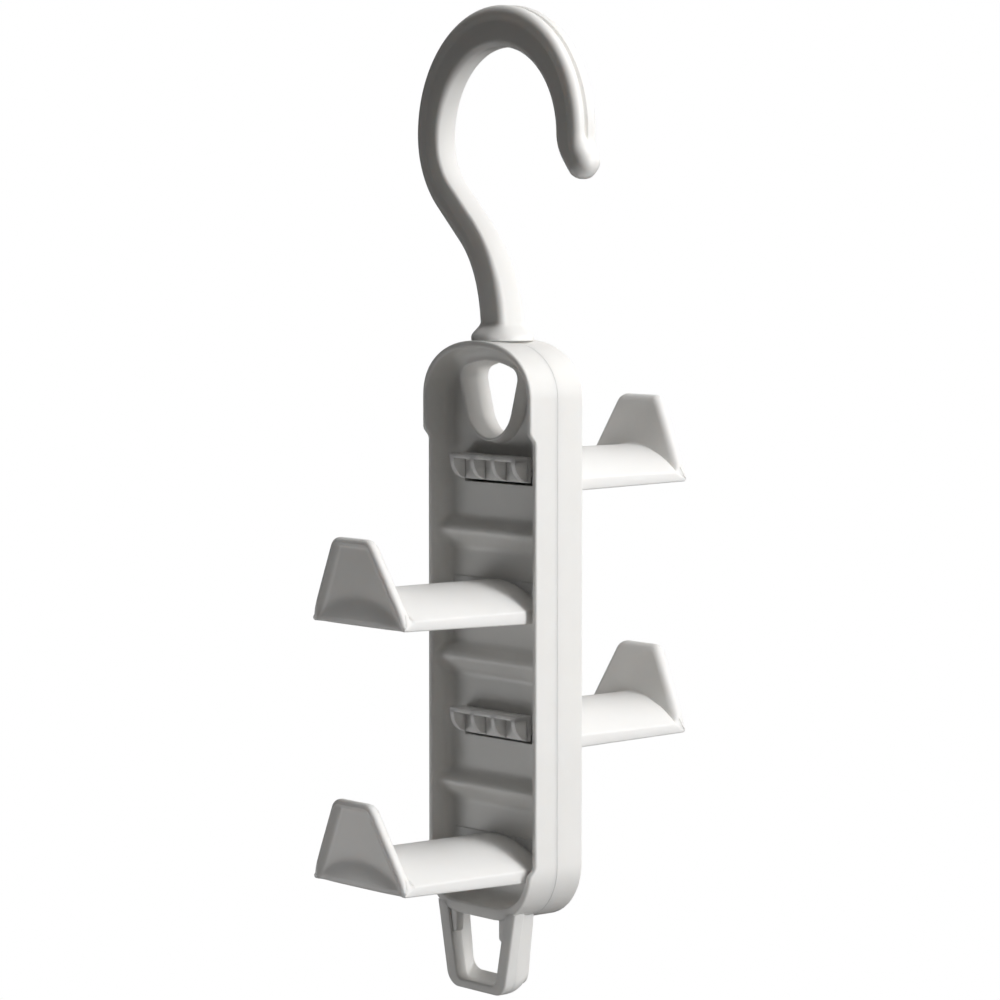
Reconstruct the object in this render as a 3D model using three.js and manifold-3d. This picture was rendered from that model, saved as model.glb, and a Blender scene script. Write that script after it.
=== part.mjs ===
// Hanging bag rack of white moulded plastic: a swivel rod hook, a two-shell body and four saddle arms.
// Millimetres, +Z up. The origin is where the rod carries the hook, on the swivel axis; -Y is the front.
import * as THREE from 'three';
import { mergeVertices } from 'three/addons/utils/BufferGeometryUtils.js';
import Module from 'manifold-3d';

const wasm = await Module();
wasm.setup();

// Hook: a question mark bent in the XZ plane, widest at its crown
const HOOK_RADIUS = 42.2;
const HOOK_OFFSET = 1.2;
const HOOK_CROWN_WIDTH = 16.2;
const HOOK_LIMB_WIDTH = 12.4;
const HOOK_DEPTH = 11;
const HOOK_EDGE_ROUND = 2.6;
const HEEL_RADIUS = 33;
const SHANK_LEAN = THREE.MathUtils.degToRad(46);
const SHANK_BEND_RADIUS = 56;
const TIP_FLARE_RADIUS = 15;
const TIP_FLARE_ANGLE = THREE.MathUtils.degToRad(45);
const HOOK_GROOVE_WIDTH = 2.4;
const HOOK_GROOVE_DEPTH = 1.2;

// Swivel: collar on the body, stem through the top wall and button held between the shells
const COLLAR_RADIUS = 12.2;
const COLLAR_HEIGHT = 4.6;
const COLLAR_ROUND = 2.4;
const NECK_FILLET = 2.6;
const STEM_RADIUS = 4.6;
const BUTTON_RADIUS = 6;
const BUTTON_THICKNESS = 2.2;
const SWIVEL_GAP = 0.2;

// Body shells
const BODY_WIDTH = 66;
const BODY_CORNER_RADIUS = 22.5;
const FRONT_DEPTH = 13.7;
const REAR_DEPTH = 13;
const WALL = 2.5;
const BOTTOM_WALL = 4.8;
const WEB = 2.1;
const CHANNEL_FILLET = 5;
const RIM_STEP = 2.8;
const RIM_STEP_SLOPE = 4.6;
const HEAD_RIM_LENGTH = 33.8;
const TAIL_RIM_LENGTH = 18.4;

// Pear-shaped hole in the head, with its sleeve and the boss that houses the button
const HOLE_TOP_DROP = 7.4;
const HOLE_HEIGHT = 29.7;
const HOLE_HALF_WIDTH = 16.9;
const HOLE_TOP_RADIUS = 40;
const HOLE_CORNER_RADIUS = 4.5;
const HOLE_BOTTOM_RADIUS = 13.8;
const SLEEVE_WALL = 1.5;
const SLEEVE_REACH = 5;
const BOSS_HALF_WIDTH = 13;
const TOP_WALL = 2.4;

// Arms: saddle, leaning end plate and the snap tongue that passes through both webs
const ARM_STEP = 50.2;
const TOP_ARM_DROP = 42.4;
const TAIL_DROP = 16.5;
const ARM_REACH = 71.5;
const ARM_SIDE_GAP = 2.2;
const SADDLE_RISE = 10;
const SADDLE_THICKNESS = 3;
const EDGE_HEIGHT_TIP = 3.7;
const EDGE_HEIGHT_ROOT = 5.1;
const EDGE_WALL = 2.4;
const ROOT_WALL = 3;
const PLATE_HEIGHT = 33.4;
const PLATE_THICKNESS = 4.8;
const PLATE_LEAN = THREE.MathUtils.degToRad(6.4);
const PLATE_FOOT = 4.2;
const PLATE_SIDE_ANGLE = THREE.MathUtils.degToRad(29.8);
const PLATE_CORNER_RADIUS = 6;
const PLATE_EDGE_ROUND = 1.6;
const PLATE_FILLET = 1.2;
const END_RECESS_DROP = 3.6;

// Snap tongue through the arched windows in both webs, with a shelf, a lip and four claws behind them
const TONGUE_WIDTH = 40.6;
const NECK_THICKNESS = 2.2;
const SHELF_DROP = 1.3;
const SHELF_THICKNESS = 2;
const LIP_THICKNESS = 2;
const CLAW_COUNT = 4;
const CLAW_PITCH = 12.5;
const CLAW_THICKNESS = 2.5;
const CLAW_LENGTH = 8;
const CLAW_HEIGHT = 8.2;
const WINDOW_COVER = 1.5;
const WINDOW_GAP = 0.3;
const WINDOW_SILL_GAP = 1.3;
const SEAT_GAP = 0.3;

// Ridges across the channel floor, one above each arm root
const RIDGE_HEIGHT = 5.4;
const RIDGE_RISE = 18.6;
const RIDGE_UPPER_RUN = 5.6;
const RIDGE_LOWER_RUN = 8;

// Loop under the body, for the hook of a second rack: a front frame and a thinner wall behind it
const LOOP_HEIGHT = 29.6;
const LOOP_TOP_WIDTH = 46;
const LOOP_BOTTOM_WIDTH = 34;
const LOOP_CORNER_RADIUS = 7;
const LOOP_STRUT = 6.2;
const LOOP_BAR = 3.6;
const LOOP_FRAME_DEPTH = 5.4;
const LOOP_DEPTH = 12.6;
const LOOP_REAR_LEAN = THREE.MathUtils.degToRad(4);
const LOOP_REAR_ROUND = 7;
const LOOP_WALL = 2.4;
const LOOP_WALL_STEP = 2.2;
const LOOP_TAB_WIDTH = 4;
const LOOP_TAB_LENGTH = 8.2;
const LOOP_TAB_ROUND = 2;
const LOOP_TAB_DEPTH = 3.5;
const LOOP_TAB_SETBACK = 1;

// Fineness of the facets, reach of a cut past a face, and distance at which two points are one
const ARC_STEPS = 6;
const ROUND_STEPS = 3;
const HOOK_LINE_STEP = 4.6;
const CUT_MARGIN = 1;
const WELD = 1e-4;

// Heights that follow from the driving sizes
const hookCentreZ = HOOK_CROWN_WIDTH / 2 - HOOK_RADIUS;
const heelCentreX = HOOK_OFFSET - HOOK_RADIUS + HEEL_RADIUS;
const heelEndX = heelCentreX - HEEL_RADIUS * Math.cos(SHANK_LEAN);
const shankBendSpan = SHANK_BEND_RADIUS * (1 - Math.cos(SHANK_LEAN));
const shankStraight = (-heelEndX - shankBendSpan) / Math.sin(SHANK_LEAN);
const shankArcDrop = (HEEL_RADIUS + SHANK_BEND_RADIUS) * Math.sin(SHANK_LEAN);
const neckZ = hookCentreZ - shankArcDrop - shankStraight * Math.cos(SHANK_LEAN);
const collarTopZ = neckZ + COLLAR_HEIGHT / 2;
const collarBottomZ = neckZ - COLLAR_HEIGHT / 2;
const bodyTopZ = collarBottomZ - SWIVEL_GAP;
const buttonTopZ = bodyTopZ - TOP_WALL - SWIVEL_GAP;
const holeTopZ = bodyTopZ - HOLE_TOP_DROP;
const armWidth = BODY_WIDTH - 2 * (WALL + ARM_SIDE_GAP);
const edgeRootZ = -SADDLE_RISE - EDGE_HEIGHT_ROOT;
const edgeTipZ = -SADDLE_RISE - EDGE_HEIGHT_TIP;
const saddleRadius = ((armWidth / 2) ** 2 + SADDLE_RISE ** 2) / (2 * SADDLE_RISE);
const shelfBottomZ = -SHELF_DROP - SHELF_THICKNESS;
const clawBottomZ = shelfBottomZ - CLAW_HEIGHT;
const sillZ = clawBottomZ - WINDOW_SILL_GAP;
const windowHalf = TONGUE_WIDTH / 2 + WINDOW_GAP;

const arms = [
  { name: 'arm_rear_upper', turn: Math.PI },
  { name: 'arm_front_upper', turn: 0 },
  { name: 'arm_rear_lower', turn: Math.PI },
  { name: 'arm_front_lower', turn: 0 },
].map((arm, index) => ({ ...arm, crestZ: bodyTopZ - TOP_ARM_DROP - index * ARM_STEP }));
const bodyBottomZ = arms[arms.length - 1].crestZ + edgeRootZ - TAIL_DROP;
const loopBottomZ = bodyBottomZ - LOOP_HEIGHT;

// Solids from geometries, and back
function solid(geometry) {
  const bare = geometry.clone();
  bare.deleteAttribute('normal');
  bare.deleteAttribute('uv');
  const merged = mergeVertices(bare, WELD);
  return new wasm.Manifold(new wasm.Mesh({
    numProp: 3,
    vertProperties: new Float32Array(merged.attributes.position.array),
    triVerts: new Uint32Array(merged.index.array),
  }));
}

function part(name, body, material) {
  const faces = body.getMesh();
  const geometry = new THREE.BufferGeometry();
  geometry.setAttribute('position', new THREE.BufferAttribute(faces.vertProperties, 3));
  geometry.setIndex(new THREE.BufferAttribute(faces.triVerts, 1));
  geometry.computeVertexNormals();
  const piece = new THREE.Mesh(geometry, material);
  piece.name = name;
  return piece;
}

// Prism of an outline drawn in X and Z, standing from y0 to y1
function prismAlongY(outline, y0, y1) {
  const geometry = new THREE.ExtrudeGeometry(outline, {
    depth: y1 - y0,
    bevelEnabled: false,
    curveSegments: ARC_STEPS,
  });
  geometry.rotateX(Math.PI / 2);
  geometry.translate(0, y1, 0);
  return solid(geometry);
}

// The same prism with its two end edges rounded; the outline is drawn smaller by the rounding
function roundedPrismAlongY(outline, y0, y1, round) {
  const geometry = new THREE.ExtrudeGeometry(outline, {
    depth: y1 - y0 - 2 * round,
    bevelThickness: round,
    bevelSize: round,
    bevelSegments: ROUND_STEPS,
    curveSegments: ARC_STEPS,
  });
  geometry.rotateX(Math.PI / 2);
  geometry.translate(0, y1 - round, 0);
  return solid(geometry);
}

// Prism of an outline drawn in Y and Z, standing from x0 to x1
function prismAlongX(outline, x0, x1) {
  const geometry = new THREE.ExtrudeGeometry(outline, {
    depth: x1 - x0,
    bevelEnabled: false,
    curveSegments: ARC_STEPS,
  });
  const yAxis = new THREE.Vector3(0, 1, 0);
  const zAxis = new THREE.Vector3(0, 0, 1);
  const xAxis = new THREE.Vector3(1, 0, 0);
  geometry.applyMatrix4(new THREE.Matrix4().makeBasis(yAxis, zAxis, xAxis));
  geometry.translate(x0, 0, 0);
  return solid(geometry);
}

function polygon(points) {
  return new THREE.Shape(points.map(([u, v]) => new THREE.Vector2(u, v)));
}

function block(x0, x1, y0, y1, z0, z1) {
  const geometry = new THREE.BoxGeometry(x1 - x0, y1 - y0, z1 - z0);
  geometry.translate((x0 + x1) / 2, (y0 + y1) / 2, (z0 + z1) / 2);
  return solid(geometry);
}

// Round solid about the swivel axis
function turned(profile) {
  const geometry = new THREE.LatheGeometry(profile.map(([r, z]) => new THREE.Vector2(r, z)), 4 * ARC_STEPS);
  geometry.rotateX(Math.PI / 2);
  return solid(geometry);
}

// Rounded rectangle of the body, drawn in by an inset at the sides and top and by another at the bottom
function bodyOutline(inset, bottomInset = inset) {
  const half = BODY_WIDTH / 2 - inset;
  const r = BODY_CORNER_RADIUS - inset;
  const bottomR = BODY_CORNER_RADIUS - bottomInset;
  const topZ = bodyTopZ - BODY_CORNER_RADIUS;
  const bottomZ = bodyBottomZ + BODY_CORNER_RADIUS;
  const outline = new THREE.Shape();
  outline.absarc(half - bottomR, bottomZ, bottomR, -Math.PI / 2, 0);
  outline.absarc(half - r, topZ, r, 0, Math.PI / 2);
  outline.absarc(r - half, topZ, r, Math.PI / 2, Math.PI);
  outline.absarc(bottomR - half, bottomZ, bottomR, Math.PI, 1.5 * Math.PI);
  outline.closePath();
  return outline;
}

// Pear outline of the head hole from four tangent arcs and two straight sides, grown by an offset
function holeOutline(offset) {
  const bottomZ = holeTopZ - HOLE_HEIGHT + HOLE_BOTTOM_RADIUS;
  const topZ = holeTopZ - HOLE_TOP_RADIUS;
  const cornerX = HOLE_HALF_WIDTH - HOLE_CORNER_RADIUS;
  const cornerZ = topZ + Math.sqrt((HOLE_TOP_RADIUS - HOLE_CORNER_RADIUS) ** 2 - cornerX ** 2);
  const span = Math.hypot(cornerX, cornerZ - bottomZ);
  const lift = Math.asin((HOLE_BOTTOM_RADIUS - HOLE_CORNER_RADIUS) / span);
  const side = Math.atan2(cornerZ - bottomZ, cornerX) + lift - Math.PI / 2;
  const top = Math.atan2(cornerZ - topZ, cornerX);
  const outline = new THREE.Shape();
  outline.absarc(0, bottomZ, HOLE_BOTTOM_RADIUS + offset, -Math.PI - side, side);
  outline.absarc(cornerX, cornerZ, HOLE_CORNER_RADIUS + offset, side, top);
  outline.absarc(0, topZ, HOLE_TOP_RADIUS + offset, top, Math.PI - top);
  outline.absarc(-cornerX, cornerZ, HOLE_CORNER_RADIUS + offset, Math.PI - top, Math.PI - side);
  outline.closePath();
  return outline;
}

// Centre line of the hook: tip flare, arch, heel, straight lean and bend into the neck, with its widths
function hookLine() {
  const points = [];
  const swell = Math.PI / 2 + SHANK_LEAN;
  const widthAt = (a) => {
    const fade = Math.cos((Math.PI / 2) * ((a - Math.PI / 2) / swell)) ** 2;
    return THREE.MathUtils.lerp(HOOK_LIMB_WIDTH, HOOK_CROWN_WIDTH, fade);
  };
  const arc = (centreX, centreZ, radius, from, to, turn, width) => {
    const steps = Math.ceil((Math.abs(to - from) * radius) / HOOK_LINE_STEP);
    for (let i = 0; i <= steps; i += 1) {
      const a = THREE.MathUtils.lerp(from, to, i / steps);
      const x = centreX + radius * Math.cos(a);
      const z = centreZ + radius * Math.sin(a);
      points.push({ x, z, heading: a + turn, width: width(a) });
    }
  };
  const limb = HOOK_OFFSET + HOOK_RADIUS;
  const quarter = Math.PI / 2;
  const footAngle = Math.asin(HOOK_EDGE_ROUND / SHANK_BEND_RADIUS);
  const flareX = limb + TIP_FLARE_RADIUS;
  const flareEnd = Math.PI + TIP_FLARE_ANGLE;
  arc(flareX, hookCentreZ, TIP_FLARE_RADIUS, flareEnd, Math.PI, -quarter, () => widthAt(0));
  points.pop();
  arc(HOOK_OFFSET, hookCentreZ, HOOK_RADIUS, 0, Math.PI, quarter, widthAt);
  points.pop();
  arc(heelCentreX, hookCentreZ, HEEL_RADIUS, Math.PI, Math.PI + SHANK_LEAN, quarter, widthAt);
  const bend = () => HOOK_LIMB_WIDTH;
  arc(-SHANK_BEND_RADIUS, neckZ, SHANK_BEND_RADIUS, SHANK_LEAN, footAngle, -quarter, bend);
  return points;
}

// Outline of the hook's front face, drawn in by the edge rounding, with a round tip
function hookOutline() {
  const line = hookLine();
  const shift = (p, side) => {
    const half = side * (p.width / 2 - HOOK_EDGE_ROUND);
    return new THREE.Vector2(p.x + half * Math.sin(p.heading), p.z - half * Math.cos(p.heading));
  };
  const outer = line.map((p) => shift(p, 1));
  const inner = line.map((p) => shift(p, -1)).reverse();
  const tip = line[0];
  const tipHalf = tip.width / 2 - HOOK_EDGE_ROUND;
  const cap = [];
  for (let i = 1; i < ARC_STEPS; i += 1) {
    const a = tip.heading + Math.PI / 2 + (Math.PI * i) / ARC_STEPS;
    cap.push(new THREE.Vector2(tip.x + tipHalf * Math.cos(a), tip.z + tipHalf * Math.sin(a)));
  }
  return new THREE.Shape([...outer, ...inner, ...cap]);
}

// Groove along the outer edge of the arch, from the right limb over the crown to the left limb
function grooveOutline() {
  const arch = hookLine().filter((p) => p.z >= hookCentreZ);
  const shift = (p, reach) => new THREE.Vector2(
    p.x + reach * Math.sin(p.heading),
    p.z - reach * Math.cos(p.heading),
  );
  const floor = arch.map((p) => shift(p, p.width / 2 - HOOK_GROOVE_DEPTH));
  const clear = arch.map((p) => shift(p, p.width)).reverse();
  return new THREE.Shape([...floor, ...clear]);
}

// Hook with its collar, stem and button in one moulding
function makeHook() {
  const band = roundedPrismAlongY(hookOutline(), -HOOK_DEPTH / 2, HOOK_DEPTH / 2, HOOK_EDGE_ROUND);
  const groove = prismAlongY(grooveOutline(), -HOOK_GROOVE_WIDTH / 2, HOOK_GROOVE_WIDTH / 2);
  const shankHalf = HOOK_LIMB_WIDTH / 2;
  const diagonal = 1 - Math.SQRT1_2;
  const neck = [
    [0, collarTopZ + NECK_FILLET],
    [shankHalf - HOOK_EDGE_ROUND / 2, collarTopZ + NECK_FILLET],
    [shankHalf + NECK_FILLET * diagonal, collarTopZ + NECK_FILLET * diagonal],
    [COLLAR_RADIUS - COLLAR_ROUND, collarTopZ],
    [COLLAR_RADIUS - COLLAR_ROUND * diagonal, collarTopZ - COLLAR_ROUND * diagonal],
    [COLLAR_RADIUS, collarTopZ - COLLAR_ROUND],
    [COLLAR_RADIUS, collarBottomZ],
    [STEM_RADIUS, collarBottomZ],
    [STEM_RADIUS, buttonTopZ],
    [BUTTON_RADIUS, buttonTopZ],
    [BUTTON_RADIUS, buttonTopZ - BUTTON_THICKNESS],
    [0, buttonTopZ - BUTTON_THICKNESS],
  ];
  return band.subtract(groove).add(turned(neck.reverse()));
}

// Space taken by the turning stem and button inside the shells
function swivelPocket() {
  const stem = STEM_RADIUS + SWIVEL_GAP;
  const button = BUTTON_RADIUS + SWIVEL_GAP;
  const roof = bodyTopZ - TOP_WALL;
  const floor = buttonTopZ - BUTTON_THICKNESS - SWIVEL_GAP;
  return turned([
    [0, floor],
    [button, floor],
    [button, roof],
    [stem, roof],
    [stem, bodyTopZ + CUT_MARGIN],
    [0, bodyTopZ + CUT_MARGIN],
  ]);
}

// Ridge across a shell's channel floor above one arm root; outward is -1 at the front and +1 at the rear
function ridge(crestZ, outward, back, halfLength) {
  const z = crestZ + RIDGE_RISE;
  const floor = outward * (WEB - back);
  const crest = outward * (WEB + RIDGE_HEIGHT - back);
  return prismAlongX(polygon([
    [floor - outward * back, z + RIDGE_UPPER_RUN],
    [floor, z + RIDGE_UPPER_RUN],
    [crest, z],
    [floor, z - RIDGE_LOWER_RUN],
    [floor - outward * back, z - RIDGE_LOWER_RUN],
  ]), -halfLength, halfLength);
}

// One half of the body: walls, web, ridges, head sleeve and boss, with the arm windows and swivel pocket
function makeShell(outward, depth) {
  const span = (a, b) => [Math.min(outward * a, outward * b), Math.max(outward * a, outward * b)];
  const outer = prismAlongY(bodyOutline(0), ...span(0, depth));
  const inset = WALL + CHANNEL_FILLET;
  const channelOutline = bodyOutline(inset, BOTTOM_WALL + CHANNEL_FILLET);
  const mouth = depth + CHANNEL_FILLET + CUT_MARGIN;
  const channel = roundedPrismAlongY(channelOutline, ...span(WEB, mouth), CHANNEL_FILLET);
  let shell = outer.subtract(channel);

  const innerHalf = BODY_WIDTH / 2 - WALL / 2;
  const ridges = arms.slice(1).map((arm) => ridge(arm.crestZ, outward, 0, innerHalf));
  const hollows = arms.slice(1).map((arm) => ridge(arm.crestZ, outward, WEB, innerHalf - WALL));
  ridges.forEach((rib) => { shell = shell.add(rib); });
  hollows.forEach((space) => { shell = shell.subtract(space); });

  const lip = WEB + SLEEVE_REACH;
  shell = shell.add(prismAlongY(holeOutline(SLEEVE_WALL), ...span(0, lip)));
  const bossFoot = holeTopZ - SLEEVE_WALL;
  const boss = block(-BOSS_HALF_WIDTH, BOSS_HALF_WIDTH, ...span(0, lip), bossFoot, bodyTopZ);
  shell = shell.add(boss.intersect(outer));
  shell = shell.subtract(prismAlongY(holeOutline(0), ...span(-CUT_MARGIN, depth + CUT_MARGIN)));
  shell = shell.subtract(swivelPocket());

  const seatFoot = edgeRootZ - SEAT_GAP;
  const seatOutline = saddleOutline(armWidth / 2 + SEAT_GAP, -SEAT_GAP, seatFoot);
  const seat = prismAlongY(seatOutline, ...span(WEB, depth + CUT_MARGIN));
  arms.filter((arm) => Math.cos(arm.turn) === -outward).forEach((arm) => {
    shell = shell.subtract(seat.translate([0, 0, arm.crestZ]));
  });

  const windowOutline = saddleOutline(windowHalf, WINDOW_COVER, sillZ);
  const armWindow = prismAlongY(windowOutline, ...span(-CUT_MARGIN, WEB + CUT_MARGIN));
  arms.forEach((arm) => {
    shell = shell.subtract(armWindow.translate([0, 0, arm.crestZ]));
  });
  return shell;
}

// Side view of the loop: a flat front, a rear face leaning back and a round lower rear corner
function loopProfile() {
  const front = -FRONT_DEPTH;
  const topZ = bodyBottomZ + BOTTOM_WALL;
  const centreZ = loopBottomZ + LOOP_REAR_ROUND;
  const rear = front + LOOP_DEPTH;
  const rearTop = rear - (topZ - centreZ) * Math.tan(LOOP_REAR_LEAN);
  const outline = new THREE.Shape();
  outline.moveTo(rearTop, topZ);
  outline.lineTo(front, topZ);
  outline.lineTo(front, loopBottomZ);
  outline.absarc(rear - LOOP_REAR_ROUND, centreZ, LOOP_REAR_ROUND, -Math.PI / 2, 0);
  outline.closePath();
  return outline;
}

// Front view of the loop: straight sides closing downwards, with round lower corners, drawn in by an inset
function loopOutline(topHalf, inset, topZ, bottomZ, radius) {
  const bottomHalf = LOOP_BOTTOM_WIDTH / 2;
  const slope = (topHalf - bottomHalf) / LOOP_HEIGHT;
  const halfAt = (z) => bottomHalf + (z - loopBottomZ) * slope - inset;
  const side = Math.atan(slope);
  const centreX = halfAt(bottomZ + radius) - radius / Math.cos(side);
  const outline = new THREE.Shape();
  outline.absarc(-centreX, bottomZ + radius, radius, Math.PI + side, 1.5 * Math.PI);
  outline.absarc(centreX, bottomZ + radius, radius, 1.5 * Math.PI, 2 * Math.PI - side);
  outline.lineTo(halfAt(topZ), topZ);
  outline.lineTo(-halfAt(topZ), topZ);
  outline.closePath();
  return outline;
}

// Loop below the body: frame, rear wall set in at its top, and two stop tabs
function makeLoop() {
  const front = -FRONT_DEPTH;
  const back = front + LOOP_FRAME_DEPTH;
  const topZ = bodyBottomZ + BOTTOM_WALL;
  const topHalf = LOOP_TOP_WIDTH / 2;
  const ring = (half, thickness, bar, y0, y1) => {
    const innerRadius = Math.max(LOOP_CORNER_RADIUS - thickness, LOOP_CORNER_RADIUS / 2);
    const innerBottom = loopBottomZ + bar;
    const outer = loopOutline(half, 0, topZ, loopBottomZ, LOOP_CORNER_RADIUS);
    const inner = loopOutline(half, thickness, bodyBottomZ, innerBottom, innerRadius);
    return prismAlongY(outer, y0, y1).subtract(prismAlongY(inner, y0 - CUT_MARGIN, y1 + CUT_MARGIN));
  };
  const frame = ring(topHalf, LOOP_STRUT, LOOP_BAR, front, back);
  const wall = ring(topHalf - LOOP_WALL_STEP, LOOP_WALL, LOOP_WALL, back, 0);
  let loop = frame.add(wall).intersect(prismAlongX(loopProfile(), -LOOP_TOP_WIDTH, LOOP_TOP_WIDTH));

  const tabInner = topHalf - LOOP_STRUT - LOOP_TAB_WIDTH;
  const tabOuter = topHalf - LOOP_WALL_STEP - LOOP_WALL / 2;
  const tabFoot = bodyBottomZ - LOOP_TAB_LENGTH;
  const tab = new THREE.Shape();
  tab.absarc(tabInner + LOOP_TAB_ROUND, tabFoot + LOOP_TAB_ROUND, LOOP_TAB_ROUND, Math.PI, 1.5 * Math.PI);
  tab.lineTo(tabOuter, tabFoot);
  tab.lineTo(tabOuter, topZ);
  tab.lineTo(tabInner, topZ);
  tab.closePath();
  const tabFront = front + LOOP_TAB_SETBACK;
  const rightTab = prismAlongY(tab, tabFront, tabFront + LOOP_TAB_DEPTH);
  loop = loop.add(rightTab).add(rightTab.mirror([1, 0, 0]));
  return loop;
}

// Front shell: its rim stands proud at the head and tail, and the loop hangs from it
function makeFrontShell() {
  const shell = makeShell(-1, FRONT_DEPTH);
  const low = RIM_STEP - FRONT_DEPTH;
  const proud = -FRONT_DEPTH - CUT_MARGIN;
  const run = (CUT_MARGIN * RIM_STEP_SLOPE) / RIM_STEP;
  const headEnd = bodyTopZ - HEAD_RIM_LENGTH;
  const tailEnd = bodyBottomZ + TAIL_RIM_LENGTH;
  const recess = polygon([
    [proud, headEnd + run],
    [low, headEnd - RIM_STEP_SLOPE],
    [low, tailEnd + RIM_STEP_SLOPE],
    [proud, tailEnd - run],
  ]);
  return shell.subtract(prismAlongX(recess, -BODY_WIDTH, BODY_WIDTH)).add(makeLoop());
}

function makeRearShell() {
  return makeShell(1, REAR_DEPTH);
}

// Arched section of the saddle, from its crest down to a flat foot
function saddleOutline(halfWidth, drop, footZ) {
  const radius = saddleRadius - drop;
  const reach = Math.asin(halfWidth / radius);
  const outline = new THREE.Shape();
  outline.absarc(0, -saddleRadius, radius, Math.PI / 2 - reach, Math.PI / 2 + reach);
  outline.lineTo(-halfWidth, footZ);
  outline.lineTo(halfWidth, footZ);
  outline.closePath();
  return outline;
}

// Trapezoid of the end plate, drawn in by an inset, with its foot at zero height
function plateOutline(inset) {
  const half = armWidth / 2 - inset;
  const top = PLATE_HEIGHT / Math.cos(PLATE_LEAN) - inset;
  const r = PLATE_CORNER_RADIUS - inset;
  const sin = Math.sin(PLATE_SIDE_ANGLE);
  const cos = Math.cos(PLATE_SIDE_ANGLE);
  const cornerX = half - ((top - r - PLATE_FOOT) * sin + r) / cos;
  const outline = new THREE.Shape();
  outline.moveTo(-half, inset);
  outline.lineTo(half, inset);
  outline.lineTo(half, PLATE_FOOT);
  outline.absarc(cornerX, top - r, r, PLATE_SIDE_ANGLE, Math.PI / 2);
  outline.absarc(-cornerX, top - r, r, Math.PI / 2, Math.PI - PLATE_SIDE_ANGLE);
  outline.lineTo(-half, PLATE_FOOT);
  outline.closePath();
  return outline;
}

// Leaning end plate, its outer foot edge at the arm's reach
function endPlate() {
  const upright = roundedPrismAlongY(plateOutline(PLATE_EDGE_ROUND), 0, PLATE_THICKNESS, PLATE_EDGE_ROUND);
  return upright.rotate([THREE.MathUtils.radToDeg(PLATE_LEAN), 0, 0]).translate([0, -ARM_REACH, edgeTipZ]);
}

// Cove between the saddle and the plate, turned about the saddle's axis
function plateCove() {
  const wallY = -ARM_REACH + PLATE_THICKNESS - SADDLE_RISE * Math.tan(PLATE_LEAN) - PLATE_EDGE_ROUND;
  const inner = saddleRadius - SADDLE_THICKNESS / 2;
  const crown = saddleRadius + PLATE_FILLET;
  const coveEnd = wallY + PLATE_EDGE_ROUND + PLATE_FILLET;
  const profile = [[inner, wallY], [inner, coveEnd], [saddleRadius, coveEnd]];
  const steps = ARC_STEPS / 2;
  for (let i = 1; i <= steps; i += 1) {
    const a = (Math.PI / 2) * (i / steps);
    profile.push([crown - PLATE_FILLET * Math.cos(a), coveEnd - PLATE_FILLET * Math.sin(a)]);
  }
  profile.push([crown, wallY], [inner, wallY]);
  const points = profile.map(([r, y]) => new THREE.Vector2(r, y)).reverse();
  const geometry = new THREE.LatheGeometry(points, 12 * ARC_STEPS);
  geometry.translate(0, 0, -saddleRadius);
  const keep = prismAlongY(plateOutline(0), -2 * ARM_REACH, 0).translate([0, 0, edgeTipZ]);
  return solid(geometry).intersect(keep);
}

// Tongue that locks an arm: a neck through the windows, then a lip and shelf with claws on the far side
function snapTongue() {
  const half = TONGUE_WIDTH / 2;
  const near = -WEB - ROOT_WALL / 2;
  const lipY = WEB + WINDOW_GAP;
  const far = lipY + CLAW_LENGTH;
  const lipFace = lipY + LIP_THICKNESS;
  const windowTopZ = Math.sqrt((saddleRadius - WINDOW_COVER) ** 2 - windowHalf ** 2) - saddleRadius;
  const neckTopZ = windowTopZ - WINDOW_GAP;
  let tongue = block(-half, half, near, lipFace, neckTopZ - NECK_THICKNESS, neckTopZ);
  tongue = tongue.add(block(-half, half, lipY, lipFace, clawBottomZ, -SHELF_DROP));
  tongue = tongue.add(block(-half, half, lipY, far, shelfBottomZ, -SHELF_DROP));
  const claw = new THREE.Shape();
  claw.moveTo(lipY, -SHELF_DROP - SHELF_THICKNESS / 2);
  claw.lineTo(lipY, clawBottomZ);
  claw.absellipse(lipY, shelfBottomZ, CLAW_LENGTH, CLAW_HEIGHT, -Math.PI / 2, 0, false, 0);
  claw.lineTo(far, -SHELF_DROP - SHELF_THICKNESS / 2);
  claw.closePath();
  for (let i = 0; i < CLAW_COUNT; i += 1) {
    const x = (i - (CLAW_COUNT - 1) / 2) * CLAW_PITCH;
    tongue = tongue.add(prismAlongX(claw, x - CLAW_THICKNESS / 2, x + CLAW_THICKNESS / 2));
  }
  return tongue;
}

// Front arm with its crest at zero height: hollow-backed saddle, end plate, cove and snap tongue
function makeArm() {
  const footZ = edgeRootZ - CUT_MARGIN;
  const saddleEnd = -ARM_REACH + PLATE_THICKNESS / 2;
  let saddle = prismAlongY(saddleOutline(armWidth / 2, 0, footZ), saddleEnd, -WEB);
  const hollow = saddleOutline(armWidth / 2 - EDGE_WALL, SADDLE_THICKNESS, footZ - CUT_MARGIN);
  saddle = saddle.subtract(prismAlongY(hollow, -ARM_REACH + PLATE_THICKNESS, -WEB - ROOT_WALL));
  const under = polygon([
    [0, edgeRootZ],
    [0, footZ - CUT_MARGIN],
    [-ARM_REACH - CUT_MARGIN, footZ - CUT_MARGIN],
    [-ARM_REACH - CUT_MARGIN, edgeTipZ],
    [-ARM_REACH, edgeTipZ],
  ]);
  saddle = saddle.subtract(prismAlongX(under, -armWidth, armWidth));
  const recess = saddleOutline(armWidth / 2 - EDGE_WALL, END_RECESS_DROP, footZ);
  const outside = prismAlongY(recess, -2 * ARM_REACH, -ARM_REACH);
  return saddle.add(endPlate()).add(plateCove()).subtract(outside).add(snapTongue());
}

function plastic(color, roughness) {
  return new THREE.MeshStandardMaterial({ color, roughness, metalness: 0 });
}

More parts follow.
